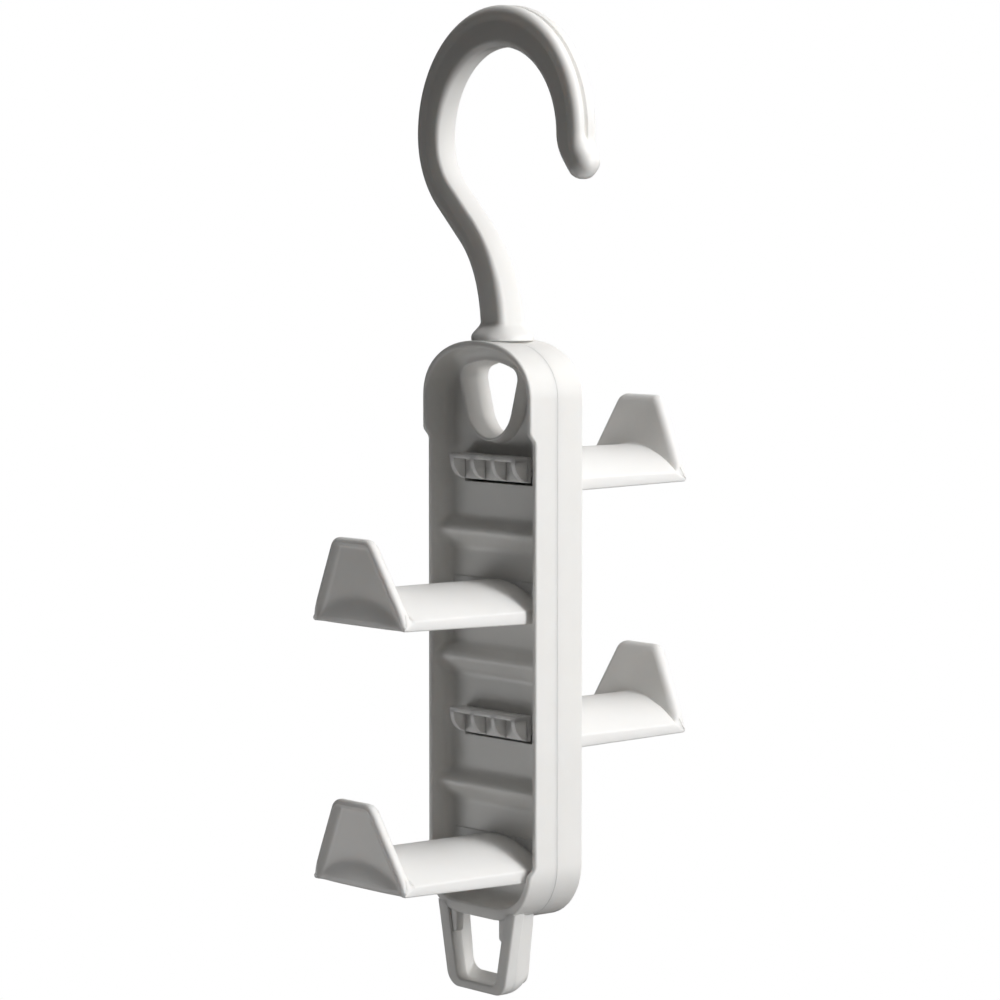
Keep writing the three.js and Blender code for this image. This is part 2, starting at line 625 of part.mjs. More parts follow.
const rack = new THREE.Group();
rack.add(part('swivel_hook', makeHook(), plastic('#f3f2f0', 0.38)));
rack.add(part('front_shell', makeFrontShell(), plastic('#f1f0ee', 0.42)));
rack.add(part('rear_shell', makeRearShell(), plastic('#f1f0ee', 0.42)));
const armBody = makeArm();
arms.forEach((arm) => {
  const piece = part(arm.name, armBody, plastic('#f4f3f1', 0.4));
  piece.position.z = arm.crestZ;
  piece.rotation.z = arm.turn;
  rack.add(piece);
});

export default rack;
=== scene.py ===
import bmesh
import bpy
import numpy as np
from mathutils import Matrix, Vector


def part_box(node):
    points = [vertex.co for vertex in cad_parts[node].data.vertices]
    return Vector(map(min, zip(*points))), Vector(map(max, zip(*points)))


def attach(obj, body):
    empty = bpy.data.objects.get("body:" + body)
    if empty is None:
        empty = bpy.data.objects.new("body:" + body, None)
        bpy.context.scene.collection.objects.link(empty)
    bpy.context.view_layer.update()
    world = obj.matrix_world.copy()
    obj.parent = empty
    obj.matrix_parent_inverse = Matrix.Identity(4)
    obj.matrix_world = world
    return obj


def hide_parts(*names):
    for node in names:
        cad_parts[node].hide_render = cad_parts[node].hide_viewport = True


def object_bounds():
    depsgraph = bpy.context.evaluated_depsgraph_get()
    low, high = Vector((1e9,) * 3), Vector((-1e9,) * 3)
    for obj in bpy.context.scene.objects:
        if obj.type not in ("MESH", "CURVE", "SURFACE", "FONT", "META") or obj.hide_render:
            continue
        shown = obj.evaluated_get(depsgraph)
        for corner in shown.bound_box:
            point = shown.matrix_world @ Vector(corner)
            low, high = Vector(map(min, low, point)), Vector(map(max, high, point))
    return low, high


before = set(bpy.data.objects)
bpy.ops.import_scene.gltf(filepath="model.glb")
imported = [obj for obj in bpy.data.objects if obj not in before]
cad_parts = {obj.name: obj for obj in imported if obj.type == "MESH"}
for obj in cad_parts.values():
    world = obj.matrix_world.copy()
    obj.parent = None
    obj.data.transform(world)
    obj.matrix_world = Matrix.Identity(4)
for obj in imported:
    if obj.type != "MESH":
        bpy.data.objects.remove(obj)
cad_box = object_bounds()

# Swivel hook
# A question-mark hook for a wardrobe rod, one moulding of white polypropylene with a satin face. Its section
# swells at the crown, and it runs out into a collar, a stem and the button that the body shells hold.
MM = 0.001

HOOK_RADIUS = 42.2
HOOK_OFFSET = 1.2
HOOK_CROWN_WIDTH = 16.1
HOOK_LIMB_WIDTH = 12.4
HOOK_DEPTH = 11.0
HOOK_EDGE_ROUND = 2.9
HOOK_INNER_ROUND = 1.3
HOOK_CROWN_ROUND = 3.2
HEEL_RADIUS = 32.0
SHANK_LEAN = np.radians(46)
SHANK_BEND_RADIUS = 56.0
SHANK_NECK_WIDTH = 14.4
SHANK_NECK_DEPTH = 12.9
TIP_FLARE_RADIUS = 15.0
TIP_FLARE = np.radians(45)
TIP_TAPER = 0.97
TIP_ROUND = 4.7
GROOVE_HALF_WIDTH = 1.1
GROOVE_DEPTH = 1.6
GROOVE_OFFSET = -0.6
GROOVE_FROM_TIP = 6.0
GROOVE_TIP_RUN = 8.0
GROOVE_FROM_NECK = 96.0
GROOVE_NECK_RUN = 14.0
GROOVE_FINE_ANGLE = 0.36
PANEL_BORDER = 3.3
PANEL_SLOPE = 3.0
PANEL_DEPTH = 0.5
PANEL_TIP_LEAD = 2.0
PANEL_TIP_RUN = 6.0
COLLAR_RADIUS = 12.2
COLLAR_HEIGHT = 4.6
COLLAR_SIDE = 1.4
COLLAR_FOOT_ROUND = 0.3
NECK_FILLET = 2.6
STEM_RADIUS = 4.6
BUTTON_RADIUS = 6.0
BUTTON_THICKNESS = 2.2
TOP_WALL = 2.4
SWIVEL_GAP = 0.2


def as_points(*coordinates):
    """Array of points from their coordinates, each spread over the rows and columns of the others."""
    return np.stack(np.broadcast_arrays(*coordinates), axis=-1)


def arc(centre_x, centre_z, radius, start, end, step=1.6):
    """Arc of a circle: the centre plus the radius times the cosine and sine of evenly spaced angles."""
    count = int(np.ceil(abs(end - start) * radius / step)) + 1
    angle = np.linspace(start, end, count)
    return as_points(centre_x + radius * np.cos(angle), centre_z + radius * np.sin(angle)), angle


def section_reach(angle, half_width, half_depth, corner):
    """Distance from a rounded rectangle's centre to its edge: to a flat side, else to the corner's circle."""
    along, across = np.abs(np.cos(angle)), np.abs(np.sin(angle))
    corner = np.minimum(corner, np.minimum(half_width, half_depth))
    inner_width, inner_depth = half_width - corner, half_depth - corner
    to_side = half_width / np.maximum(along, 1e-9)
    to_face = half_depth / np.maximum(across, 1e-9)
    lean = inner_width * along + inner_depth * across
    under_root = lean**2 - inner_width**2 - inner_depth**2 + corner**2
    to_corner = lean + np.sqrt(np.maximum(under_root, 0))
    reach = np.where(to_face * along <= inner_width, to_face, to_corner)
    return np.where(to_side * across <= inner_depth, to_side, reach)


def smooth(value):
    """Step from 0 to 1 with flat ends: three squares minus two cubes of the value held between 0 and 1."""
    held = np.clip(value, 0, 1)
    return held * held * (3 - 2 * held)


def blend(a, b, share):
    """Straight mix of two values by a share from 0 to 1."""
    return a + (b - a) * share


def hook_line():
    """Centre line of the hook from its tip to the neck: flare, arch, heel, straight lean and bend.

    With it come its swell, a squared cosine of the turn from the crown, the bend's rows and the neck's
    height.
    """
    centre_z = HOOK_CROWN_WIDTH / 2 - HOOK_RADIUS
    heel_x = HOOK_OFFSET - HOOK_RADIUS + HEEL_RADIUS
    heel_end_x = heel_x - HEEL_RADIUS * np.cos(SHANK_LEAN)
    straight = (-heel_end_x - SHANK_BEND_RADIUS * (1 - np.cos(SHANK_LEAN))) / np.sin(SHANK_LEAN)
    drop = (HEEL_RADIUS + SHANK_BEND_RADIUS) * np.sin(SHANK_LEAN) + straight * np.cos(SHANK_LEAN)
    neck_z = centre_z - drop
    foot = np.arcsin((COLLAR_HEIGHT / 2 + NECK_FILLET) / SHANK_BEND_RADIUS)
    limb_x = HOOK_OFFSET + HOOK_RADIUS
    flare, _ = arc(limb_x + TIP_FLARE_RADIUS, centre_z, TIP_FLARE_RADIUS, np.pi + TIP_FLARE, np.pi)
    arch, arch_turn = arc(HOOK_OFFSET, centre_z, HOOK_RADIUS, 0, np.pi)
    heel, heel_turn = arc(heel_x, centre_z, HEEL_RADIUS, np.pi, np.pi + SHANK_LEAN)
    bend, _ = arc(-SHANK_BEND_RADIUS, neck_z, SHANK_BEND_RADIUS, SHANK_LEAN, foot)
    lean = np.linspace(heel[-1], bend[0], 12)[1:-1]
    line = np.concatenate([flare[:-1], arch, heel[1:], lean, bend])
    after_heel = np.full(len(lean) + len(bend), heel_turn[-1])
    turn = np.concatenate([np.zeros(len(flare) - 1), arch_turn, heel_turn[1:], after_heel])
    swell = np.cos(np.pi / 2 * (turn - np.pi / 2) / (np.pi / 2 + SHANK_LEAN)) ** 2
    return line, swell, len(bend), neck_z


def hook_surface():
    """Rounded rectangle carried along the hook's line, then round sections down the collar, stem and button.

    A groove, one cosine wave deep, is pressed into the outer edge, and both faces step down inside a border.
    """
    line, swell, bend_rows, neck_z = hook_line()
    tangent = np.gradient(line, axis=0)
    tangent /= np.linalg.norm(tangent, axis=1, keepdims=True)
    outward = as_points(tangent[:, 1], -tangent[:, 0])
    rows = len(line)
    neck_share = smooth((np.arange(rows) - (rows - bend_rows)) / bend_rows)
    run = np.concatenate([[0], np.cumsum(np.linalg.norm(np.diff(line, axis=0), axis=1))])
    from_tip = smooth(run / (TIP_FLARE * TIP_FLARE_RADIUS))
    to_neck = run[-1] - run
    half_width = blend(blend(HOOK_LIMB_WIDTH, HOOK_CROWN_WIDTH, swell), SHANK_NECK_WIDTH, neck_share) / 2
    half_width = half_width * blend(TIP_TAPER, 1, from_tip)
    half_depth = blend(HOOK_DEPTH, SHANK_NECK_DEPTH, neck_share) / 2
    groove = smooth((run - GROOVE_FROM_TIP) / GROOVE_TIP_RUN)
    groove = groove * smooth((to_neck - GROOVE_FROM_NECK) / GROOVE_NECK_RUN)
    panel = smooth((run + PANEL_TIP_LEAD) / PANEL_TIP_RUN) * (1 - neck_share)

    # The tip closes in a half round.
    tip = np.linspace(np.pi / 2, 0, 14)[:-1]
    shrink = np.cos(tip)
    tip_line = line[0] - tangent[0] * (half_width[0] * np.sin(tip))[:, None]

    # The neck spreads into the round collar.
    flare = np.linspace(0, 1, 19)[1:]
    collar_top, collar_foot = neck_z + COLLAR_HEIGHT / 2, neck_z - COLLAR_HEIGHT / 2
    to_round = smooth(flare)
    flare_width = blend(SHANK_NECK_WIDTH / 2, COLLAR_RADIUS, to_round)
    flare_depth = blend(SHANK_NECK_DEPTH / 2, COLLAR_RADIUS, to_round)
    flare_corner = blend(HOOK_EDGE_ROUND, COLLAR_RADIUS, to_round)
    flare_z = blend(collar_top + NECK_FILLET, collar_foot + COLLAR_SIDE, flare)
    flare_x = blend(line[-1, 0], 0, to_round)

    # Below the collar come the stem, through the body's top wall, and the button.
    button_top = collar_foot - 2 * SWIVEL_GAP - TOP_WALL
    button_foot = button_top - BUTTON_THICKNESS
    round_radius = np.array([COLLAR_RADIUS, COLLAR_RADIUS - COLLAR_FOOT_ROUND, STEM_RADIUS, STEM_RADIUS,
                             BUTTON_RADIUS, BUTTON_RADIUS, 0])
    round_z = np.array([collar_foot + COLLAR_FOOT_ROUND, collar_foot, collar_foot, button_top,
                        button_top, button_foot, button_foot])

    # All rows in order, each with its centre, direction, half sizes and edge rounds.
    below = len(flare) + len(round_z)
    tip_outward = np.tile(outward[:1], (len(tip), 1))
    centre = np.concatenate([tip_line, line, as_points(flare_x, flare_z), as_points(0, round_z)])
    outward = np.concatenate([tip_outward, outward, np.tile([[-1.0, 0.0]], (below, 1))])
    half_width = np.concatenate([half_width[0] * shrink, half_width, flare_width, round_radius])[:, None]
    half_depth = np.concatenate([half_depth[0] * shrink, half_depth, flare_depth, round_radius])[:, None]
    outer_round = blend(TIP_ROUND, HOOK_EDGE_ROUND, from_tip)
    inner_round = blend(TIP_ROUND, blend(HOOK_INNER_ROUND, HOOK_CROWN_ROUND, swell), from_tip)
    inner_round = blend(inner_round, outer_round, neck_share)
    outer_round = np.concatenate([TIP_ROUND * shrink, outer_round, flare_corner, round_radius])
    inner_round = np.concatenate([TIP_ROUND * shrink, inner_round, flare_corner, round_radius])
    groove = np.pad(groove, (len(tip), below))[:, None]
    panel = np.pad(panel, (len(tip), below))[:, None]

    # Round each section, in finer steps over the groove.
    round_back = np.linspace(GROOVE_FINE_ANGLE, 2 * np.pi - GROOVE_FINE_ANGLE, 150)[1:-1]
    angle = np.concatenate([np.linspace(-GROOVE_FINE_ANGLE, GROOVE_FINE_ANGLE, 37), round_back])[None, :]
    corner = np.where(np.cos(angle) > 0, outer_round[:, None], inner_round[:, None])
    reach = section_reach(angle, half_width, half_depth, corner)
    out = reach * np.cos(angle)
    depth = reach * np.sin(angle)
    wave = np.clip(np.abs(depth - GROOVE_OFFSET) / GROOVE_HALF_WIDTH, 0, 1)
    pressed = np.where(out > 0, 0.5 + 0.5 * np.cos(np.pi * wave), 0) * GROOVE_DEPTH * groove
    recess = PANEL_DEPTH * panel * smooth((half_width - PANEL_BORDER - out) / PANEL_SLOPE)
    out = out - pressed
    depth = depth * (1 - recess / np.maximum(half_depth, recess + 1))
    return as_points(centre[:, :1] + outward[:, :1] * out, depth, centre[:, 1:] + outward[:, 1:] * out)


def grid_quads(rows, columns, wraps):
    """Corner numbers of a grid's quads, row by row; a grid that wraps joins its last column to its first."""
    row = np.arange(rows - 1)[:, None] * columns
    column = np.arange(columns if wraps else columns - 1)[None, :]
    after = (column + 1) % columns
    return as_points(row + column, row + after, row + columns + after, row + columns + column).reshape(-1, 4)


def make_piece(name, grids, material, body, node):
    """One smooth mesh from grids of points in mm, welded where they meet, that rides on a body.

    It replaces its CAD node. Each grid comes with whether it wraps and which of its quads are kept, or None
    for all.
    """
    weld_gap = 0.002 * MM
    least_edge = 0.001 * MM
    sharp_angle = np.radians(42)
    points, quads, start = [], [], 0
    for grid, wraps, kept in grids:
        numbers = grid_quads(*grid.shape[:2], wraps)
        quads.append((numbers if kept is None else numbers[kept.ravel()]) + start)
        points.append(grid.reshape(-1, 3) * MM)
        start += len(points[-1])
    mesh = bpy.data.meshes.new(name)
    mesh.from_pydata(np.concatenate(points).tolist(), [], np.concatenate(quads).tolist())
    shape = bmesh.new()
    shape.from_mesh(mesh)
    bmesh.ops.remove_doubles(shape, verts=shape.verts, dist=weld_gap)
    bmesh.ops.dissolve_degenerate(shape, edges=shape.edges, dist=least_edge)
    bmesh.ops.recalc_face_normals(shape, faces=shape.faces)
    shape.to_mesh(mesh)
    shape.free()
    mesh.polygons.foreach_set("use_smooth", np.ones(len(mesh.polygons), bool))
    mesh.set_sharp_from_angle(angle=sharp_angle)
    mesh.materials.append(material)
    piece = bpy.data.objects.new(name, mesh)
    bpy.context.scene.collection.objects.link(piece)
    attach(piece, body)
    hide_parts(node)


def linear(hex_colour):
    """Linear colour of an sRGB hex value, with full alpha."""
    code = np.array([int(hex_colour[i:i + 2], 16) for i in (1, 3, 5)]) / 255
    light = np.where(code <= 0.04045, code / 12.92, ((code + 0.055) / 1.055) ** 2.4)
    return (*light.tolist(), 1.0)


def add_node(tree, kind, links=None, inputs=None, **settings):
    """Adds one node, sets its properties and input values, and links its inputs to other nodes' outputs."""
    node = tree.nodes.new(kind)
    for name, value in settings.items():
        setattr(node, name, value)
    for name, value in (inputs or {}).items():
        node.inputs[name].default_value = value
    for name, output in (links or {}).items():
        tree.links.new(output, node.inputs[name])
    return node


def moulded_polypropylene(name, light_hex, shade_hex, roughness, grain_mm, glow_mm):
    """Polypropylene from a fine-eroded mould: a white satin skin with a faint grain and slow drifts of tone.

    The grain of the mould is about a tenth of a millimetre; it is drawn coarser so that it shows. A little
    light sinks in and comes out again nearby.
    """
    drift_mm = 28
    scuff_mm = 5
    polish = 0.05
    dulling = 0.06
    grain_height_mm = 0.05
    material = bpy.data.materials.new(name)
    material.use_nodes = True
    tree = material.node_tree
    tree.nodes.clear()
    place = add_node(tree, "ShaderNodeTexCoord").outputs["Object"]
    patterns = []
    for size_mm, detail in [(drift_mm, 3), (scuff_mm, 5), (grain_mm, 2)]:
        noise = add_node(tree, "ShaderNodeTexNoise", {"Vector": place},
                         {"Scale": 1 / (size_mm * MM), "Detail": detail})
        patterns.append(noise.outputs["Fac"])
    drift, scuff, grain = patterns
    tone = add_node(tree, "ShaderNodeMix", {"Factor": drift},
                    {6: linear(shade_hex), 7: linear(light_hex)}, data_type="RGBA")
    gloss = add_node(tree, "ShaderNodeMapRange", {"Value": scuff},
                     {"To Min": roughness - polish, "To Max": roughness + dulling})
    bump = add_node(tree, "ShaderNodeBump", {"Height": grain},
                    {"Strength": 0.12, "Distance": grain_height_mm * MM})
    linked = {"Base Color": tone.outputs[2], "Roughness": gloss.outputs["Result"],
              "Normal": bump.outputs["Normal"]}
    shader = add_node(tree, "ShaderNodeBsdfPrincipled", linked, {
        "IOR": 1.49, "Subsurface Weight": 0.5, "Subsurface Scale": glow_mm * MM,
        "Subsurface Radius": (1, 0.94, 0.9)})
    add_node(tree, "ShaderNodeOutputMaterial", {"Surface": shader.outputs["BSDF"]})
    return material


hook_plastic = moulded_polypropylene("satin_polypropylene_hook", "#f4f3f1", "#eeedea", 0.34, 0.5, 4)
hook_grids = [(hook_surface(), True, None)]
make_piece("hook_moulding", hook_grids, hook_plastic, "hook", "swivel_hook")

# Body shells
# Two shallow trays of the same plastic, back to back on a seam at mid-depth and held by the arms' tongues.
# Each has a web, round-edged walls, three soft ridges, windows for the tongues and a sleeve round the hole
# in its head.
BODY_CORNER = 22.5
HEAD_LIFT = 0.8
HEAD_BOW = 2.2
SEAT_LIFT = 0.4
SEAT_RADIUS = 12.3
SEAT_RAMP = 0.5
WALL = 2.5
BOTTOM_WALL = 4.8
WEB = 2.1
SEAM_CHAMFER = 0.07
RIM_ROUND = 0.9
CHANNEL_FILLET = 4.3
RIM_STEP = 2.8
RIM_STEP_RUN = 4.6
HEAD_RIM_LENGTH = 34.6
TAIL_RIM_LENGTH = 18.4
HOLE_TOP_DROP = 7.4
HOLE_HEIGHT = 29.7
HOLE_HALF_WIDTH = 16.9
HOLE_TOP_RADIUS = 40.0
HOLE_CORNER_RADIUS = 4.5
HOLE_BOTTOM_RADIUS = 13.8
SLEEVE_REACH = 5.0
SLEEVE_FLAT = 1.0
SLEEVE_FOOT = 2.4
SLEEVE_ROUND = 0.8
SLEEVE_CLEARANCE = 0.2
BOSS_HALF_WIDTH = 12.0
BOSS_FADE = 12.0
BOSS_DROP = 9.0
BOSS_RUN = 8.0
RIDGE_HEIGHT = 5.4
RIDGE_RISE = 18.6
RIDGE_UPPER_RUN = 5.6
RIDGE_LOWER_RUN = 8.0
RIDGE_END_RUN = 3.0
CHANNEL_ROW_PITCH = 1.35
RING_CROWDING = 1.3
ARM_WIDTH = 56.6
SADDLE_RISE = 10.0
SADDLE_RADIUS = ((ARM_WIDTH / 2) ** 2 + SADDLE_RISE**2) / (2 * SADDLE_RISE)
EDGE_HEIGHT_ROOT = 5.1
EDGE_HEIGHT_TIP = 3.7
ARM_REACH = 71.5
WINDOW_HALF = 20.6
WINDOW_COVER = 1.5
WINDOW_SILL = 12.8
WINDOW_ROWS = 6

rear_low, rear_high = (np.array(corner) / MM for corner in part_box("rear_shell"))
front_depth = -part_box("front_shell")[0].y / MM
rear_depth = rear_high[1]
body_half, body_top, body_bottom = rear_high[0], rear_high[2] + HEAD_LIFT, rear_low[2]
side_top, side_foot = body_top - BODY_CORNER, body_bottom + BODY_CORNER
hole_top = body_top - HEAD_LIFT - HOLE_TOP_DROP
hole_middle = hole_top - HOLE_HEIGHT / 2
floor_inset = WALL + CHANNEL_FILLET
floor_half = body_half - floor_inset
bottom_extra = BOTTOM_WALL - WALL
floor_corner = BODY_CORNER - floor_inset - bottom_extra
head_line = hole_top - HOLE_HEIGHT - SLEEVE_FOOT - SLEEVE_CLEARANCE

arm_names = ["arm_rear_upper", "arm_front_upper", "arm_rear_lower", "arm_front_lower"]
edge_drop = blend(EDGE_HEIGHT_ROOT, EDGE_HEIGHT_TIP, WEB / ARM_REACH)
arm_crests = [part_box(name)[0].z / MM + SADDLE_RISE + edge_drop for name in arm_names]


def saddle_drop(x, cover=0.0):
    """Drop below the saddle's crest at x: its radius less the height of its circle, drawn in by a cover."""
    return SADDLE_RADIUS - np.sqrt((SADDLE_RADIUS - cover) ** 2 - x**2)


def hole_reach(angle):
    """Distance from the hole's middle to its pear outline, read off arcs for its bottom, corners and top."""
    bottom_z = hole_top - HOLE_HEIGHT + HOLE_BOTTOM_RADIUS
    top_z = hole_top - HOLE_TOP_RADIUS
    corner_x = HOLE_HALF_WIDTH - HOLE_CORNER_RADIUS
    corner_z = top_z + np.sqrt((HOLE_TOP_RADIUS - HOLE_CORNER_RADIUS) ** 2 - corner_x**2)
    span = np.hypot(corner_x, corner_z - bottom_z)
    lift = np.arcsin((HOLE_BOTTOM_RADIUS - HOLE_CORNER_RADIUS) / span)
    side = np.arctan2(corner_z - bottom_z, corner_x) + lift - np.pi / 2
    top = np.arctan2(corner_z - top_z, corner_x)
    bottom, _ = arc(0, bottom_z, HOLE_BOTTOM_RADIUS, -np.pi / 2, side, 0.1)
    corner, _ = arc(corner_x, corner_z, HOLE_CORNER_RADIUS, side, top, 0.1)
    flank = np.linspace(bottom[-1], corner[0], 120)[1:-1]
    crown, _ = arc(0, top_z, HOLE_TOP_RADIUS, top, np.pi / 2, 0.1)
    outline = np.concatenate([bottom, flank, corner, crown]) - [0, hole_middle]
    around = np.arctan2(outline[:, 1], outline[:, 0])
    mirrored = np.arcsin(np.sin(angle))
    return np.interp(mirrored, around, np.hypot(outline[:, 0], outline[:, 1]))


def floor_depth(x, z):
    """Depth of the channel floor: the web plus each ridge, a cosine swell that dies out at the side walls."""
    end = smooth((body_half - WALL - np.abs(x)) / RIDGE_END_RUN)
    depth = WEB + 0 * (x + z)
    for crest in arm_crests[1:]:
        above = z - (crest + RIDGE_RISE)
        run = np.where(above > 0, above / RIDGE_UPPER_RUN, -above / RIDGE_LOWER_RUN)
        depth = depth + RIDGE_HEIGHT * end * np.cos(np.pi / 2 * np.clip(run, 0, 1)) ** 2
    return depth


def head_depth(gap, x, z):
    """Depth round the head hole: a flat-topped sleeve with a round lip, falling to the web, and the boss."""
    sleeve = 1 - smooth((gap - SLEEVE_FLAT) / (SLEEVE_FOOT - SLEEVE_FLAT))
    boss = smooth((BOSS_HALF_WIDTH + BOSS_FADE - np.abs(x)) / BOSS_FADE)
    boss = boss * smooth((z - hole_top + BOSS_DROP) / BOSS_RUN)
    inside = np.clip(SLEEVE_ROUND - gap, 0, SLEEVE_ROUND)
    lip = SLEEVE_ROUND - np.sqrt(SLEEVE_ROUND**2 - inside**2)
    return WEB + SLEEVE_REACH * np.maximum(sleeve, boss) - lip


def floor_turn(heights):
    """Angle on the floor's bottom corner for each height: the arcsine of its drop below the straight side."""
    return np.arcsin(np.clip((heights - side_foot) / floor_corner, -1, 0))


def floor_rows():
    """Heights of the floor's rows below the head, each flat or bent into the arch of the window under it.

    Between one sill and the next window's arch a row takes on the arch with the square of its share of the
    way. With them come the columns and each window's first and last row.
    """
    beside = np.linspace(WINDOW_HALF, floor_half, 6)[1:]
    columns = np.concatenate([-beside[::-1], np.linspace(-WINDOW_HALF, WINDOW_HALF, 33), beside])
    held = np.minimum(np.abs(columns), WINDOW_HALF)
    heights, openings = [np.full((1, len(columns)), head_line)], []
    for crest in arm_crests:
        arch = crest - saddle_drop(held, WINDOW_COVER)
        edge = arch.min()
        upper = heights[-1][-1, 0]
        count = int(np.ceil((upper - edge) / CHANNEL_ROW_PITCH)) + 2
        share = np.linspace(0, 1, count)[1:, None]
        heights.append(blend(upper, edge, share) + (arch - edge)[None, :] * share**2)
        arch_row = sum(len(block) for block in heights) - 1
        share = np.linspace(0, 1, WINDOW_ROWS + 1)[1:, None]
        heights.append(blend(arch[None, :], crest - WINDOW_SILL, share))
        openings.append((arch_row, arch_row + WINDOW_ROWS))
    turn = np.linspace(floor_turn(heights[-1][-1, 0]), -np.pi / 2, 10)[1:]
    last = side_foot + floor_corner * np.sin(turn)
    heights.append(np.tile(last[:, None], (1, len(columns))))
    return columns, np.concatenate(heights), openings


def side_loop(heights, inset, bottom_inset, columns_share):
    """Closed loop of points round the body, drawn in by an inset: foot, right side, head and left side.

    Below the side's straight length the points lie on the bottom corner's arc, at the same angles for every
    inset. The head is a squarish oval: powers of the cosine and sine a little below one.
    """
    turn = floor_turn(heights)
    bottom_r = BODY_CORNER - bottom_inset
    centre_x = body_half - inset - bottom_r
    right_x = np.where(heights < side_foot, centre_x + bottom_r * np.cos(turn), body_half - inset)
    right_z = np.where(heights < side_foot, side_foot + bottom_r * np.sin(turn), heights)
    foot = as_points(columns_share * centre_x, side_foot - bottom_r)
    right = as_points(right_x, right_z)[::-1]
    cheek = np.linspace([body_half - inset, head_line], [body_half - inset, side_top], 16)[1:]
    turn = np.linspace(0, np.pi, 132)[1:-1]
    across = np.sign(np.cos(turn)) * np.abs(np.cos(turn)) ** (2 / HEAD_BOW)
    bow_z = side_top + (body_top - side_top - inset) * np.sin(turn) ** (2 / HEAD_BOW)
    bow = as_points((body_half - inset) * across, bow_z)
    mirror = np.array([-1, 1])
    return np.concatenate([foot[1:-1], right, cheek, bow, cheek[::-1] * mirror, right[::-1] * mirror])


def sunk_seat(x, depth, z):
    """Height of the head's top with the collar's round seat let into it: flat inside, with a short ramp."""
    seat = rear_high[2] + SEAT_LIFT
    inside = smooth((SEAT_RADIUS + SEAT_RAMP - np.hypot(x, depth)) / SEAT_RAMP)
    return np.where(z > seat, blend(z, seat, inside), z)


def quarter_round(radius, count):
    """Steps on a quarter circle: the radius times one less the cosine, and one less the sine, of its turn."""
    turn = np.linspace(0, np.pi / 2, count)
    return radius * (1 - np.cos(turn)), radius * (1 - np.sin(turn))


def wall_profile(rim, floor_edge):
    """Insets and depths up a shell's wall: seam, outer side, rim with round edges, inner side and fillet."""
    near, far = quarter_round(RIM_ROUND, 7)
    fillet_in, fillet_up = quarter_round(1, 7)
    wall_top = rim - RIM_ROUND
    fillet = np.minimum(CHANNEL_FILLET, wall_top - floor_edge)
    profile = [(floor_inset, 0 * rim), (SEAM_CHAMFER, 0 * rim), (0, 0 * rim + SEAM_CHAMFER)]
    for share in np.linspace(0, 1, 27)[1:]:
        profile.append((0, blend(SEAM_CHAMFER, wall_top, share)))
    profile += [(inset, rim - drop) for inset, drop in zip(near[1:], far[1:])]
    profile += [(WALL - inset, rim - drop) for inset, drop in zip(far, near)]
    for share in np.linspace(0, 1, 5)[1:]:
        profile.append((WALL, blend(wall_top, floor_edge + fillet, share)))
    for into, up in zip(fillet_in[1:], fillet_up[1:]):
        profile.append((WALL + CHANNEL_FILLET * into, floor_edge + fillet * up))
    return profile


